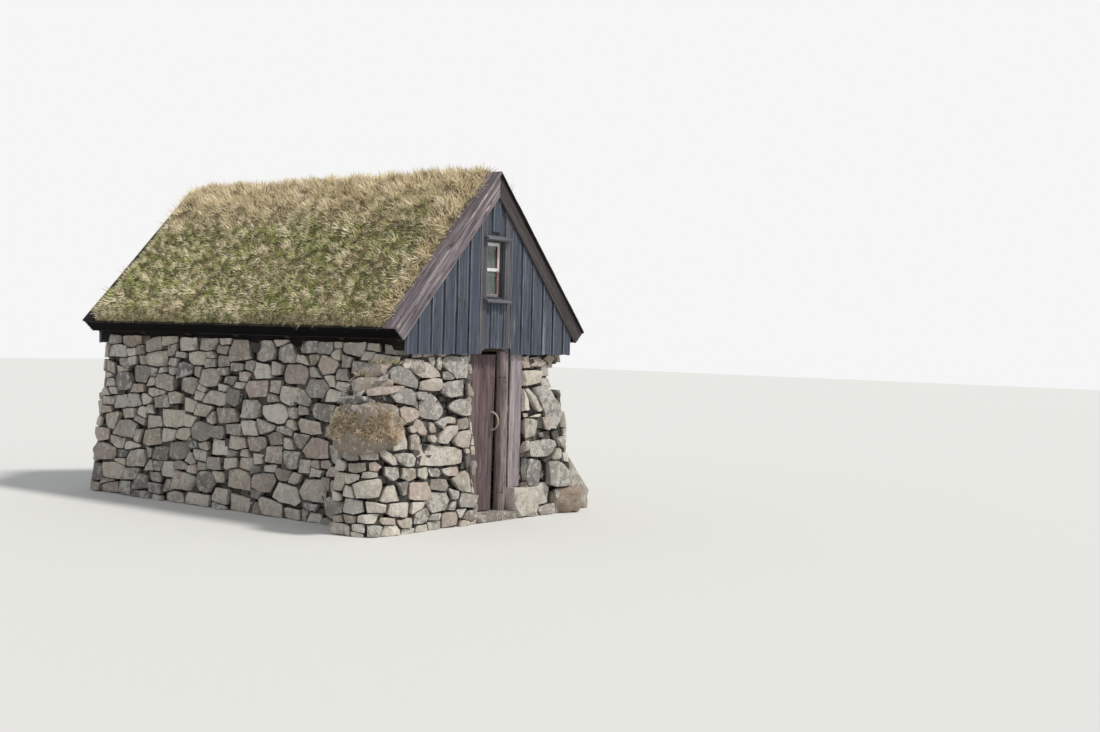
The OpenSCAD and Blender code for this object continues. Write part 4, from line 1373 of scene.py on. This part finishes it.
# The glass is opaque: its grey-green is a painted reflection, lighter where dust and smears lie on it.
glass = Paint("old window glass")
dust = glass.noise(7, glass.place, 5, 0.65)
smear = glass.noise(1.0, glass.place * (9.0, 9.0, 2.0), 4, 0.6)
green = glass.mix(tone(62, 70, 66), tone(134, 142, 134), glass.band(dust * 0.6 + smear * 0.5, 0.35, 0.8))
dress(glass.done(green, 0.12 + 0.45 * glass.band(dust, 0.4, 0.7), smear, 0.0006), "window_glass")


# The post that the door hangs on, the unbarked round log that it shuts against and a wide waney
# board that closes the gap between the log and the stones. All are grey, tarred long ago.
POST_W, POST_D = 0.060, 0.080
DOOR_FACE = FRONT + 0.190
STEP_TOP = 0.085
LOG_X, LOG_Y, LOG_R, LOG_TOP_R = 0.283, -2.545, 0.075, 0.072
LOG_SIDES, LOG_STEP = 40, 0.022
KNOTS = (  # height, angle and size of the swellings where branches grew
    (0.62, -1.9, 0.030), (1.22, -1.15, 0.040), (1.56, -2.4, 0.026), (0.95, -0.6, 0.024),
)
SIDE_FACE, SIDE_T, SIDE_LOW = -2.615, 0.025, 0.34


def swelling(z, a):
    """How far the log stands out of its round at a height and an angle, most of all at a knot."""
    x, y = math.cos(a), math.sin(a)
    knots = []
    for knot_z, knot_a, size in KNOTS:
        turned = (a - knot_a + math.pi) % (2 * math.pi) - math.pi
        knots.append(0.011 * math.exp(-(((z - knot_z) / size) ** 2 + turned ** 2 / (size / LOG_R) ** 2)))
    slow = 0.004 * noise.noise(Vector((x * 2.5, y * 2.5, z * 0.7)))
    return slow + 0.0018 * noise.noise(Vector((x * 9, y * 9, z * 1.5))) + sum(knots)


post_wood = timber(
    "bare door post", (104, 92, 91), (158, 144, 142), (182, 170, 164), wear=0.6, knots=0.4, edges=0.5,
)
post = Piece()
standing(post, DOOR_LEFT, DOOR_FACE, POST_W, POST_D, STEP_TOP, HEAD, wave=0.002, bevel=0.004)
post.make("door_post_timber", "house", "door_wood", post_wood, ["door_post"])

log_wood = timber(
    "grey log", (120, 108, 106), (176, 160, 157), (184, 171, 165),
    crack=1.2, knots=0.0, depth=0.006, tint=(92, 82, 80),
)
log = Piece()
stations = int((HEAD - STEP_TOP) / LOG_STEP)
turns = np.arange(LOG_SIDES) / LOG_SIDES * 2 * math.pi
x, y = np.cos(turns), np.sin(turns)
rings, grain = [], []
for k in range(stations + 1):
    z = STEP_TOP + (HEAD - STEP_TOP) * k / stations
    radius = LOG_R + (LOG_TOP_R - LOG_R) * k / stations
    sway = 0.004 * noise.noise(Vector((z * 1.6, 3, 0)))
    reach = radius - 0.003 + np.array([swelling(z, a) for a in turns])
    level = np.full(LOG_SIDES, z)
    rings.append(np.stack([LOG_X + sway + x * reach, LOG_Y + y * reach, level], axis=1))
    grain.append(np.stack([level, x * 0.06, y * 0.06], axis=1))
rings = closed(rings, (LOG_X, LOG_Y, STEP_TOP), (LOG_X, LOG_Y, HEAD))
grain = closed(grain, (STEP_TOP, 0, 0), (HEAD, 0, 0))
log.add(rings, ring_faces(stations + 1, LOG_SIDES), grain=grain, edge=0.0)
log.make("door_log_timber", "house", "log_wood", log_wood, ["door_log"], sharp=50)

side_wood = timber(
    "grey side board", (118, 110, 113), (180, 169, 172), (202, 193, 191),
    wear=0.7, knots=0.5, edges=0.6, depth=0.005,
)
side_board = Piece()
standing(
    side_board, LOG_X + LOG_TOP_R, SIDE_FACE, DOOR_RIGHT - LOG_X - LOG_TOP_R, SIDE_T, SIDE_LOW, HEAD,
    wave=0.006, ragged=0.004, bow=0.004,
)
side_board.make("door_side_plank", "house", "side_board_wood", side_wood, ["door_side_board"])


# A narrow leaf of three upright planks on two ledges, hung at the left on flap hinges. It swings
# outwards, and is held shut by wire loops that slip over two nails in the log.
LEAF_LEFT, LEAF_RIGHT = -0.25, 0.193
LEAF_LOW, LEAF_TOP, LEAF_T = 0.10, 1.832, 0.030
TAPER = 0.035  # by which the right plank is narrower at its foot
LEDGE_T, LEDGE_H, LEDGE_IN = 0.028, 0.12, 0.05
HINGE_Z = (0.42, 1.50)
CRACK = 0.0015  # half of the gap between two planks

door_wood = timber(
    "brown door planks", (80, 66, 68), (124, 106, 108), (156, 140, 138),
    wear=0.55, knots=0.5, edges=0.6, tint=(98, 76, 78),
)
leaf = Piece()
for a, b, set_back, left_gap, right_gap, wave, taper in (
    (0, 0.141, 0.0, 0, CRACK, 0.003, 0),
    (0.141, 0.324, 0.001, CRACK, CRACK, 0.0015, 0),
    (0.324, LEAF_RIGHT - LEAF_LEFT, 0.0005, CRACK, 0, 0.002, TAPER),
):
    standing(
        leaf, LEAF_LEFT + a + left_gap, DOOR_FACE + set_back, b - a - left_gap - right_gap, LEAF_T - 0.001,
        LEAF_LOW, LEAF_TOP, wave=wave, taper=taper, ragged=0.003, bow=0.001,
    )
ledge_ends = square_cut(LEAF_LEFT + LEDGE_IN), square_cut(LEAF_RIGHT - TAPER - LEDGE_IN / 2)
for z in HINGE_Z:
    board(
        leaf, (0, DOOR_FACE + LEAF_T + LEDGE_T, z - LEDGE_H / 2), (1, 0, 0), (0, 0, 1), (0, 1, 0),
        LEDGE_H, LEDGE_T + 0.004, *ledge_ends,
    )
leaf.make("door_leaf_planks", "door", "door_wood", door_wood, ["door_leaf"])

# The handle is a branch bent into a bow, thicker at both feet
HANDLE_X, HANDLE_Z, HANDLE_R, HANDLE_BAR = 0.151, 1.09, 0.100, 0.011
BAR_SIDES, BENDS = 14, 30
bleached = timber(
    "bleached handle", (150, 138, 124), (206, 196, 182), (226, 220, 210), crack=0.9, knots=0.0, depth=0.002,
)
handle = Piece()
foot_angle = math.asin(HANDLE_BAR / 2 / HANDLE_R)
around = np.arange(BAR_SIDES) / BAR_SIDES * 2 * math.pi
rings, grain = [], []
for k in range(BENDS + 1):
    turn = foot_angle + (math.pi - 2 * foot_angle) * k / BENDS
    swell = 1 + 0.22 * math.exp(-((turn / 0.25) ** 2)) + 0.22 * math.exp(-(((math.pi - turn) / 0.25) ** 2))
    swell = swell + 0.05 * noise.noise(Vector((turn * 3, 1, 2)))
    away = HANDLE_R + HANDLE_BAR * swell * np.cos(around)
    rings.append(np.stack([
        HANDLE_X + HANDLE_BAR * swell * np.sin(around),
        DOOR_FACE + HANDLE_BAR / 2 - math.sin(turn) * away,
        HANDLE_Z + math.cos(turn) * away,
    ], axis=1))
    length = np.full(BAR_SIDES, turn * HANDLE_R)
    grain.append(np.stack([length, 0.01 * np.cos(around), 0.01 * np.sin(around)], axis=1))
handle.add(closed(rings), ring_faces(BENDS + 1, BAR_SIDES), grain=closed(grain), edge=0.0)
handle.make("door_handle_bow", "door", "handle_wood", bleached, ["door_handle"], sharp=60)

# Forged hinge flaps and pins and bent wire, all rusted
rusted = Paint("rusted iron")
rust = rusted.noise(60, rusted.place, 6, 0.7)
blotch = rusted.noise(14, rusted.place, 4, 0.6)
iron_tone = rusted.mix(tone(50, 42, 39), tone(102, 68, 50), rusted.band(rust * 0.6 + blotch * 0.5, 0.4, 0.75))
iron_tone = rusted.mix(iron_tone, tone(134, 94, 66), rusted.band(rust, 0.62, 0.75) * 0.6)
iron = rusted.done(iron_tone, 0.6 + 0.3 * rust, rust + blotch * 0.5, 0.0012, Metallic=0.35)
dress(iron, "leaf_irons", "frame_irons")


# Sods laid grass side up on the roof boards, a good hand thick. The mat is lumpy, round over the
# ridge and the eave, and held by the boards at the verges; the grass on it has grown on.
TURF_UNDER, TURF_EDGE = 0.124, 0.027  # how deep the mat's underside and its rim lie
CROWN, CROWN_IN = 0.080, 0.14  # how far it rises, and over which width from the verge
VERGE_IN, TURF_HALF = 2.505, 2.662
EAVE_S = 2.336  # length of the slope that it covers
SOD_STEP = 0.055
RIDGE_ROUND, EAVE_ROUND, RIDGE_TURN = 0.062, 0.20, 0.25
RIDGE_GRASS, VERGE_GRASS, EAVE_GRASS = 0.95, 0.20, 0.22  # how far the edges change the grass
HIGHEST = 4.015  # no blade stands higher


def bumps(x, y):
    """How far the mat swells at a place on the roof."""
    return (
        0.030 * noise.noise(Vector((x * 1.5, y * 1.5, 4)))
        + 0.040 * noise.noise(Vector((x * 4.0, y * 4.0, 1)))
        + 0.016 * noise.noise(Vector((x * 9, y * 9, 8)))
    )


def mat_top(side, run, y):
    """The top of the mat, a share of the way down one slope."""
    in_y = np.clip((VERGE_IN + 0.01 - abs(y)) / CROWN_IN, 0, 1)
    in_y = in_y * in_y * (3 - 2 * in_y)
    lip = np.clip((1 - run) * EAVE_S / EAVE_ROUND, 0, 1)
    lip = math.sqrt(1 - (1 - lip) ** 2)
    crown = CROWN - 0.02 * max(0, 1 - run / 0.2) + bumps(side * run, y)
    rise = crown * in_y * lip - TURF_EDGE * (1 - in_y * lip)
    s = run * EAVE_S
    x = s * COS + rise * SIN * min(1, s / RIDGE_TURN)
    z = APEX - s * SIN + rise * (COS + (1 / COS - COS) * max(0, 1 - s / RIDGE_TURN))
    return side * x, y, z - (math.sqrt(x * x + RIDGE_ROUND**2) - x) * math.tan(SLOPE) * in_y


def growth(side, run, y):
    """Where the grass leans at a place on the mat, how thick and tall it is, and how much is straw."""
    left = (1 - run) * EAVE_S
    ridge = max(0, 1 - run * EAVE_S / RIDGE_GRASS)
    verge = max(0, 1 - (VERGE_IN - abs(y)) / VERGE_GRASS) if abs(y) < VERGE_IN + 0.02 else 0
    if y > 0:
        verge *= 0.6
    eave = max(0, 1 - left / EAVE_GRASS)
    lean = np.array((side * SIN, 0, COS)) * 0.55 + np.array((0, 0, 1)) * (0.35 + 0.35 * ridge)
    lean = lean + np.array(down(side)) * (0.9 * (1 - ridge) + 0.9 * eave)
    outward = np.array((0, math.copysign(1, y), 0))
    lean = lean + outward * verge * 0.9 + np.array((side * SIN, 0, -0.2)) * eave
    thick = (abs(y) < VERGE_IN - 0.004) * (1 + 0.5 * verge + 1.6 * eave)
    tall = 0.74 + max(0.50 * ridge, 0.4 * verge, 0.12 * eave)
    tall = tall * (0.45 + 0.55 * min(1, left / 0.12))
    return lean / np.linalg.norm(lean), thick, tall, min(1, 1.05 * ridge + 0.75 * verge + 0.12 * eave)


def sod(side):
    """The mat of one slope: its points and faces, those of its top first, and the growth on its top."""
    ys = np.linspace(-TURF_HALF, TURF_HALF, int(2 * TURF_HALF / SOD_STEP) + 1)
    runs = np.linspace(0, 1, int(EAVE_S / SOD_STEP) + 1)
    top = np.array([mat_top(side, run, y) for run in runs for y in ys])
    growths = zip(*(growth(side, run, y) for run in runs for y in ys))
    columns, rows = len(ys), len(runs)
    grid = np.arange(rows * columns).reshape(rows, columns)
    faces = [(k, k + 1, k + columns + 1, k + columns) for k in grid[:-1, :-1].ravel().tolist()]
    rim = np.concatenate([grid[0], grid[1:, -1], grid[-1, -2::-1], grid[-2:0:-1, 0]]).tolist()
    base = []
    for i in rim:
        run = (i // columns) / (rows - 1)
        s = run * EAVE_S + TURF_UNDER * math.tan(SLOPE) * (1 - run) ** 8
        base.append((side * (s * COS - TURF_UNDER * SIN), top[i, 1], APEX - s * SIN - TURF_UNDER * COS))
    count, n = len(top), len(rim)
    faces += [(rim[k], rim[(k + 1) % n], count + (k + 1) % n, count + k) for k in range(n)]
    faces.append(tuple(range(count, count + n)))
    return np.concatenate([top, base]), faces, [np.array(part) for part in growths]


def straw_share(paint, straw, own):
    """Where the grass is straw and where it is green: in patches, and tuft by tuft."""
    patch = paint.noise(1.5, paint.place, 4, 0.62)
    clump = paint.noise(7.5, paint.place, 3, 0.6)
    return paint.band(straw * 0.62 + patch * 0.45 + clump * 0.45 + own, 0.80, 0.95)


def sod_finish():
    """The mat itself: roots, old grass and some earth, which shows on the cut sides."""
    paint = Paint("matted sod")
    mat = paint.noise(60, paint.place, 5, 0.7)
    lump = paint.noise(16, paint.place, 4, 0.7)
    share = straw_share(paint, paint.own("straw"), lump * 0.8)
    colour = paint.mix(tone(98, 100, 60), tone(158, 140, 106), share)
    colour = paint.mix(colour, tone(60, 52, 36), paint.band(mat, 0.3, 0.7) * 0.5)
    colour = paint.mix(colour, tone(50, 40, 31), 1 - paint.band(paint.own("top"), 0.2, 0.8))
    return paint.done(colour, 0.95, mat + lump, 0.02)


def grass_finish(name, greens, straws, brown, tips):
    """Grass that changes from tuft to tuft and from blade to blade, and is painted darker towards its root as
    shade inside the tuft.
    """
    paint = Paint(name)
    tuft, blade, tip = paint.own("tuft_tone"), paint.own("blade_tone"), paint.own("blade_tip")
    share = straw_share(paint, paint.own("tuft_straw"), tuft * 0.6 + blade * 0.2)
    level = paint.band(blade * 0.8 + tuft * 0.5, 0.25, 1.0)
    green, straw = (paint.mix(*(tone(*c) for c in pair), level) for pair in (greens, straws))
    colour = paint.mix(green, straw, share)
    colour = paint.mix(colour, tone(*brown), paint.band(blade, 0.84, 0.88) * 0.75)
    bleached = paint.band(tip * 0.5 + tuft * 0.4 + share * 0.2, 0.62, 1.0) * 0.5
    # painted shade: each blade is painted darker towards its root, as the shade inside the tuft
    colour = paint.mix(colour, tone(*tips), bleached) * (0.56 + 0.70 * paint.band(tip, -0.05, 0.45))
    return paint.done(colour, 0.85, Specular_IOR_Level=0.3)


class Tree(Nodes):
    """A Geometry Nodes tree with named inputs, which grows real mesh on a carrier."""

    def __init__(self, name, **values):
        super().__init__(bpy.data.node_groups.new(name, "GeometryNodeTree"))
        face = self.tree.interface
        for way in ("INPUT", "OUTPUT"):
            face.new_socket("Geometry", in_out=way, socket_type="NodeSocketGeometry")
        for label, value in values.items():
            kind = "NodeSocketInt" if isinstance(value, int) else "NodeSocketFloat"
            title = label.replace("_", " ").capitalize()
            face.new_socket(title, in_out="INPUT", socket_type=kind)
        self.values = values
        self.given = self.tree.nodes.new("NodeGroupInput").outputs
        self.result = self.tree.nodes.new("NodeGroupOutput").inputs[0]

    def wants(self, label):
        """One of the tree's own inputs; geometry is the carrier."""
        return Wire(self, self.given[label.replace("_", " ").capitalize()])

    def own(self, name, kind="FLOAT"):
        """A value that the carrier's points carry."""
        return self.node("GeometryNodeInputNamedAttribute", {"data_type": kind}, {"Name": name})

    def store(self, geometry, name, value, domain="POINT"):
        settings = {"data_type": "FLOAT", "domain": domain}
        inputs = {"Geometry": geometry, "Name": name, "Value": value}
        return self.node("GeometryNodeStoreNamedAttribute", settings, inputs)

    def random(self, low, high, salt):
        """A value between two limits, or a vector between two vectors. Each salt draws its own."""
        kind, first, output = ("FLOAT_VECTOR", 0, 0) if isinstance(low, tuple) else ("FLOAT", 2, 1)
        inputs = {first: low, first + 1: high, "Seed": self.wants("seed") + salt}
        return self.node("FunctionNodeRandomValue", {"data_type": kind}, inputs, output)

    def towards(self, way):
        """A turn that sets the height of a thing along a direction."""
        return self.node("FunctionNodeAlignRotationToVector", {"axis": "Z"}, {"Vector": way})

    def finish(self, geometry, material):
        """Real geometry in one material, as the end of the tree."""
        real = self.node("GeometryNodeRealizeInstances", inputs={"Geometry": geometry})
        inputs = {"Geometry": real, "Material": material}
        self.feed(self.result, self.node("GeometryNodeSetMaterial", inputs=inputs))

    def grown(self, name, carrier, **changes):
        """The plain mesh that the tree makes out of a carrier, which is then removed."""
        modifier = carrier.modifiers.new("growth", "NODES")
        modifier.node_group = self.tree
        for item in self.tree.interface.items_tree:
            if item.in_out == "INPUT" and item.name != "Geometry":
                label = item.name.lower().replace(" ", "_")
                modifier[item.identifier] = changes.get(label, self.values[label])
        view = bpy.context.view_layer
        view.update()
        mesh = bpy.data.meshes.new_from_object(carrier.evaluated_get(view.depsgraph))
        bpy.data.objects.remove(carrier)
        mesh.name = name
        made = bpy.data.objects.new(name, mesh)
        scene.collection.objects.link(made)
        return made


def grass_tree(name, paint, segments, **sizes):
    """Tufts of tapered, three-sided and closed blades, which grow out of a mat as its points say."""
    tree = Tree(name, **sizes)
    place = tree.node("GeometryNodeInputPosition")
    height = tree.node("ShaderNodeSeparateXYZ", inputs={0: place}, output=2)
    blade = tree.node("GeometryNodeMeshCone", inputs={
        "Vertices": 3, "Side Segments": segments, "Radius Top": 0.0, "Radius Bottom": 0.5, "Depth": 1.0,
    })
    blade = tree.store(blade, "blade_tip", height)
    bend = tree.maths("POWER", height, 2.0) * tree.wants("bend")
    bend = tree.node("ShaderNodeCombineXYZ", inputs={0: bend})
    blade = tree.node("GeometryNodeSetPosition", inputs={"Geometry": blade, "Offset": bend})

    # one tuft: its blades stand in a small ring and lean out of it
    inputs = {"Vertices": tree.wants("blades"), "Radius": tree.wants("ring")}
    ring = tree.node("GeometryNodeMeshCircle", inputs=inputs)
    inputs = {"Geometry": ring, "Position": place * tree.random(0.1, 1.0, 1)}
    roots = tree.node("GeometryNodeSetPosition", inputs=inputs)
    lean = place * tree.wants("splay") + tree.random((-0.3, -0.3, 0.8), (0.3, 0.3, 1.2), 2)
    width = tree.wants("width") * tree.random(0.6, 1.3, 3)
    length = tree.wants("length") * tree.random(0.45, 1.2, 4)
    blades = tree.node("GeometryNodeInstanceOnPoints", inputs={
        "Points": roots,
        "Instance": blade,
        "Rotation": tree.towards(lean),
        "Scale": tree.node("ShaderNodeCombineXYZ", inputs={0: width, 1: width * 0.45, 2: length}),
    })
    blades = tree.store(blades, "blade_tone", tree.random(0.0, 1.0, 5), "INSTANCE")
    tuft = tree.node("GeometryNodeRealizeInstances", inputs={"Geometry": blades})

    # the tufts on the mat: they lean as it says, in swirls, and none stands over the highest level
    spots = tree.node("GeometryNodeDistributePointsOnFaces", {"distribute_method": "RANDOM"}, {
        "Mesh": tree.wants("geometry"),
        "Density": tree.own("thick") * tree.wants("tufts_per_m2"),
        "Seed": tree.wants("seed"),
    })
    swirl = tree.node("ShaderNodeTexNoise", inputs={"Scale": 4.6, "Detail": 3.0}, output=1)
    astray = tree.random((-0.4, -0.4, -0.3), (0.4, 0.4, 0.4), 6)
    way = tree.own("grow", "FLOAT_VECTOR") + astray + (swirl - (0.5, 0.5, 0.5)) * 3.6
    spin = tree.node("ShaderNodeCombineXYZ", inputs={2: tree.random(0.0, 2 * math.pi, 7)})
    spin = tree.node("FunctionNodeEulerToRotation", inputs={"Euler": spin})
    inputs = {"Rotation": tree.towards(way), "Rotate By": spin}
    turned = tree.node("FunctionNodeRotateRotation", {"rotation_space": "LOCAL"}, inputs)
    clumps = tree.node("ShaderNodeTexNoise", inputs={"Scale": 8.5, "Detail": 2.0})
    size = tree.own("tall") * tree.random(0.7, 1.25, 8) * (clumps * 2.0)
    room = (tree.wants("highest") - height) / tree.wants("length") * tree.random(0.35, 0.82, 9)
    tufts = tree.node("GeometryNodeInstanceOnPoints", inputs={
        "Points": spots,
        "Instance": tuft,
        "Rotation": turned,
        "Scale": tree.maths("MINIMUM", size, room),
    })
    tufts = tree.store(tufts, "tuft_tone", tree.random(0.0, 1.0, 10), "INSTANCE")
    tufts = tree.store(tufts, "tuft_straw", tree.own("straw"), "INSTANCE")
    tree.finish(tufts, paint)
    return tree


def bed_of(points, faces, **values):
    """The carrier that things grow on, with what its points say of the growth."""
    bed = bpy.data.meshes.new("bed")
    bed.from_pydata(np.asarray(points).tolist(), [], faces)
    carry(bed, values)
    carrier = bpy.data.objects.new("bed", bed)
    scene.collection.objects.link(carrier)
    return carrier


sod_material = sod_finish()
grass_material = grass_finish(
    "roof grass",
    greens=((104, 116, 60), (222, 224, 152)),
    straws=((176, 156, 114), (250, 240, 214)),
    brown=(88, 72, 48),
    tips=(248, 236, 204),
)
short_tree = grass_tree(
    "short grass", grass_material, 1,
    highest=HIGHEST, tufts_per_m2=330.0, blades=10, ring=0.026, splay=34.0,
    length=0.092, width=0.012, bend=0.0, seed=1,
)
long_tree = grass_tree(
    "long grass", grass_material, 2,
    highest=HIGHEST, tufts_per_m2=95.0, blades=9, ring=0.030, splay=16.0,
    length=0.15, width=0.008, bend=5.0, seed=2,
)
for side_name, side in (("left", -1), ("right", 1)):
    points, faces, (grow, thick, tall, straw) = sod(side)
    grown_on = len(thick)
    spare = np.zeros(len(points) - grown_on)
    mat = Piece()
    mat.add(points, faces, top=np.append(np.ones(grown_on), spare), straw=np.append(straw, spare))
    node = f"turf_{side_name}"
    mat.make(node + "_sods", "house", "turf", sod_material, [node], sharp=80)
    top_faces = [f for f in faces if max(f) < grown_on]
    for label, tree, share in (("short", short_tree, 1), ("long", long_tree, 0.15 + 1.5 * straw)):
        carrier = bed_of(points[:grown_on], top_faces, grow=grow, thick=thick * share, tall=tall, straw=straw)
        settle(tree.grown(f"{node}_{label}_grass", carrier, seed=7 + side), "house")


# A cushion of brown moss has grown over the round stone at the wing wall's end, orange at its
# lower edge, and a few tufts of grass stand in the earth on top of the wall.
TUFTS = (  # middle and radius of each
    ((-1.50, -2.40, 1.745), 0.13), ((-1.62, -2.32, 1.62), 0.12),
    ((-1.74, -2.30, 1.46), 0.09), ((-1.44, -2.56, 1.755), 0.07),
)
TUFT_SIDES = 10

points = mound.points[0]
away = points - np.array(MOUND)
away /= np.linalg.norm(away, axis=1, keepdims=True)
hem = MOUND[2] - 0.08 + 0.05 * np.sin(points[:, 1] * 17) + 0.02 * np.sin(points[:, 0] * 31)
lumps = np.array([noise.noise(Vector(p) * 14) for p in points])
brow = hem + 0.17 + 0.16 * lumps + 0.05 * np.sin(points[:, 0] * 13 - points[:, 1] * 7)
share = np.clip((points[:, 2] - hem) / 0.04, 0, 1) * np.clip(1 - (points[:, 2] - brow) / 0.09, 0.08, 1)
points = points + away * (0.034 * share - 0.012 + 0.012 * lumps * share)[:, None]
cushion = Piece()
cushion.add(points, mound.faces, top=0.0, straw=0.3)
felted = Paint("moss cushion")
felt = felted.noise(70, felted.place, 5, 0.7)
clod = felted.noise(18, felted.place, 4, 0.6)
felt_level = felted.band(felt * 0.6 + clod * 0.5, 0.35, 0.75)
felt_tone = felted.mix(tone(84, 74, 58), tone(148, 136, 112), felt_level)
cushion.make("wing_wall_moss", "house", "turf", felted.done(felt_tone, 0.95, felt + clod, 0.012))

moss_material = grass_finish(
    "wall moss",
    greens=((118, 108, 86), (224, 212, 184)),
    straws=((112, 92, 78), (206, 184, 160)),
    brown=(66, 48, 36),
    tips=(246, 236, 210),
)
moss_tree = grass_tree(
    "wall moss", moss_material, 1,
    highest=HIGHEST, tufts_per_m2=4200.0, blades=5, ring=0.010, splay=44.0,
    length=0.036, width=0.0065, bend=0.0, seed=3,
)
low = np.clip(1 - (points[:, 2] - hem) / 0.12, 0, 1)
grow = away * 1.2 + np.array((0, 0, -0.5)) * (1 - 0.8 * away[:, 2:])
carrier = bed_of(
    points, mound.faces, grow=grow, thick=share, tall=0.8 + 0.4 * low + 0.5 * lumps, straw=0.1 + 0.75 * low,
)
settle(moss_tree.grown("wing_wall_moss_stems", carrier, seed=5), "house")

points, faces = [], []
for (x, y, z), radius in TUFTS:
    first = len(points)
    points.append((x, y, z + 0.004))
    for k, a in enumerate(np.arange(TUFT_SIDES) / TUFT_SIDES * 2 * math.pi):
        points.append((x + radius * math.cos(a), y + radius * math.sin(a) * 0.8, z - 0.02))
        faces.append((first, first + 1 + k, first + 1 + (k + 1) % TUFT_SIDES))
every = np.ones(len(points))
grow = every[:, None] * (-0.25, -0.35, 1.0)
carrier = bed_of(points, faces, grow=grow, thick=every, tall=0.7 * every, straw=0.25 * every)
settle(short_tree.grown("wing_wall_grass", carrier, tufts_per_m2=800.0, seed=9), "house")


# Hand-driven iron nails hold the boards: two at each bearing, their round heads flush and rusted.
# Each head is a short eight-sided cone, which stands on the place where the nail was driven.
NAIL_R, NAIL_T = 0.0045, 0.0022
FORWARD, BACKWARD = (0, -1, 0), (0, 1, 0)
nails = {"house": [], "door": []}


def nail_tree():
    """A head on each point of the carrier, which faces the way that the point says."""
    tree = Tree("nail heads", head_radius=NAIL_R, head_thickness=NAIL_T)
    radius = tree.wants("head_radius")
    head = tree.node("GeometryNodeMeshCone", inputs={
        "Vertices": 8, "Side Segments": 1, "Radius Top": radius * 0.7, "Radius Bottom": radius,
        "Depth": tree.wants("head_thickness"),
    })
    tree.finish(tree.node("GeometryNodeInstanceOnPoints", inputs={
        "Points": tree.wants("geometry"),
        "Instance": head,
        "Rotation": tree.towards(tree.own("facing", "FLOAT_VECTOR")),
    }), iron)
    return tree


def drive(body, facing, *spots):
    """Notes nails that are driven into a body from one side."""
    nails[body] += [(spot, facing) for spot in spots]


for c in [-c for c in centres] + centres:
    levels = [BOARDING_LOW + 0.075, roof_line(abs(c) + BOARD_W / 2) - 0.06]
    if levels[1] - levels[0] > 0.7:
        levels.insert(1, (levels[0] + levels[1]) / 2)
    for z in levels:
        for x in (c - 0.045, c + 0.045):
            drive("house", FORWARD, (x, OUTER_Y - 0.0005, z + rng.uniform(-0.01, 0.01)))
            drive("house", BACKWARD, (x, -OUTER_Y + 0.0005, z + rng.uniform(-0.01, 0.01)))
for x in (-HORN, HORN):
    for z in (BOARDING_LOW + 0.1, 2.32, 2.62, 2.92, 3.22):
        drive("house", FORWARD, (x - 0.03, OUTER_Y - 0.0005, z), (x + 0.03, OUTER_Y - 0.0005, z + 0.008))
for end_sign in (-1, 1):
    for side in (-1, 1):
        along, deeper = np.array(down(side)), np.array(into(side))
        for s in np.arange(0.22, SLOPE_L - 0.05, 0.40):
            for d in (0.05, 0.15):
                spot = np.array((0, end_sign * 2.690, APEX)) + along * (s + d) + deeper * d
                drive("house", (0, end_sign, 0), spot + (0, end_sign * 0.0005, 0))
            for inward in (0.04, 0.16):
                spot = np.array((0, end_sign * (2.710 - inward), APEX)) + along * s - deeper * 0.0005
                drive("house", -deeper, spot)
for z in HINGE_Z:
    for x in (-0.235, -0.18, -0.125, -0.085, 0.0, 0.06, 0.09, 0.13):
        drive("door", FORWARD, (x, DOOR_FACE - 0.0006, z + rng.uniform(-0.03, 0.03)))
for z in (0.45, 1.05, 1.72):
    drive("house", FORWARD, (0.385, SIDE_FACE - 0.001, z), (0.52, SIDE_FACE - 0.001, z + 0.01))
heads = nail_tree()
for body, driven in nails.items():
    spots, facings = (np.array(part, float) for part in zip(*driven))
    settle(heads.grown(f"{body}_nails", bed_of(spots, [], facing=facings)), body)


size = {"cad": [list(c) for c in cad_box], "visual": [list(c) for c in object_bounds()]}
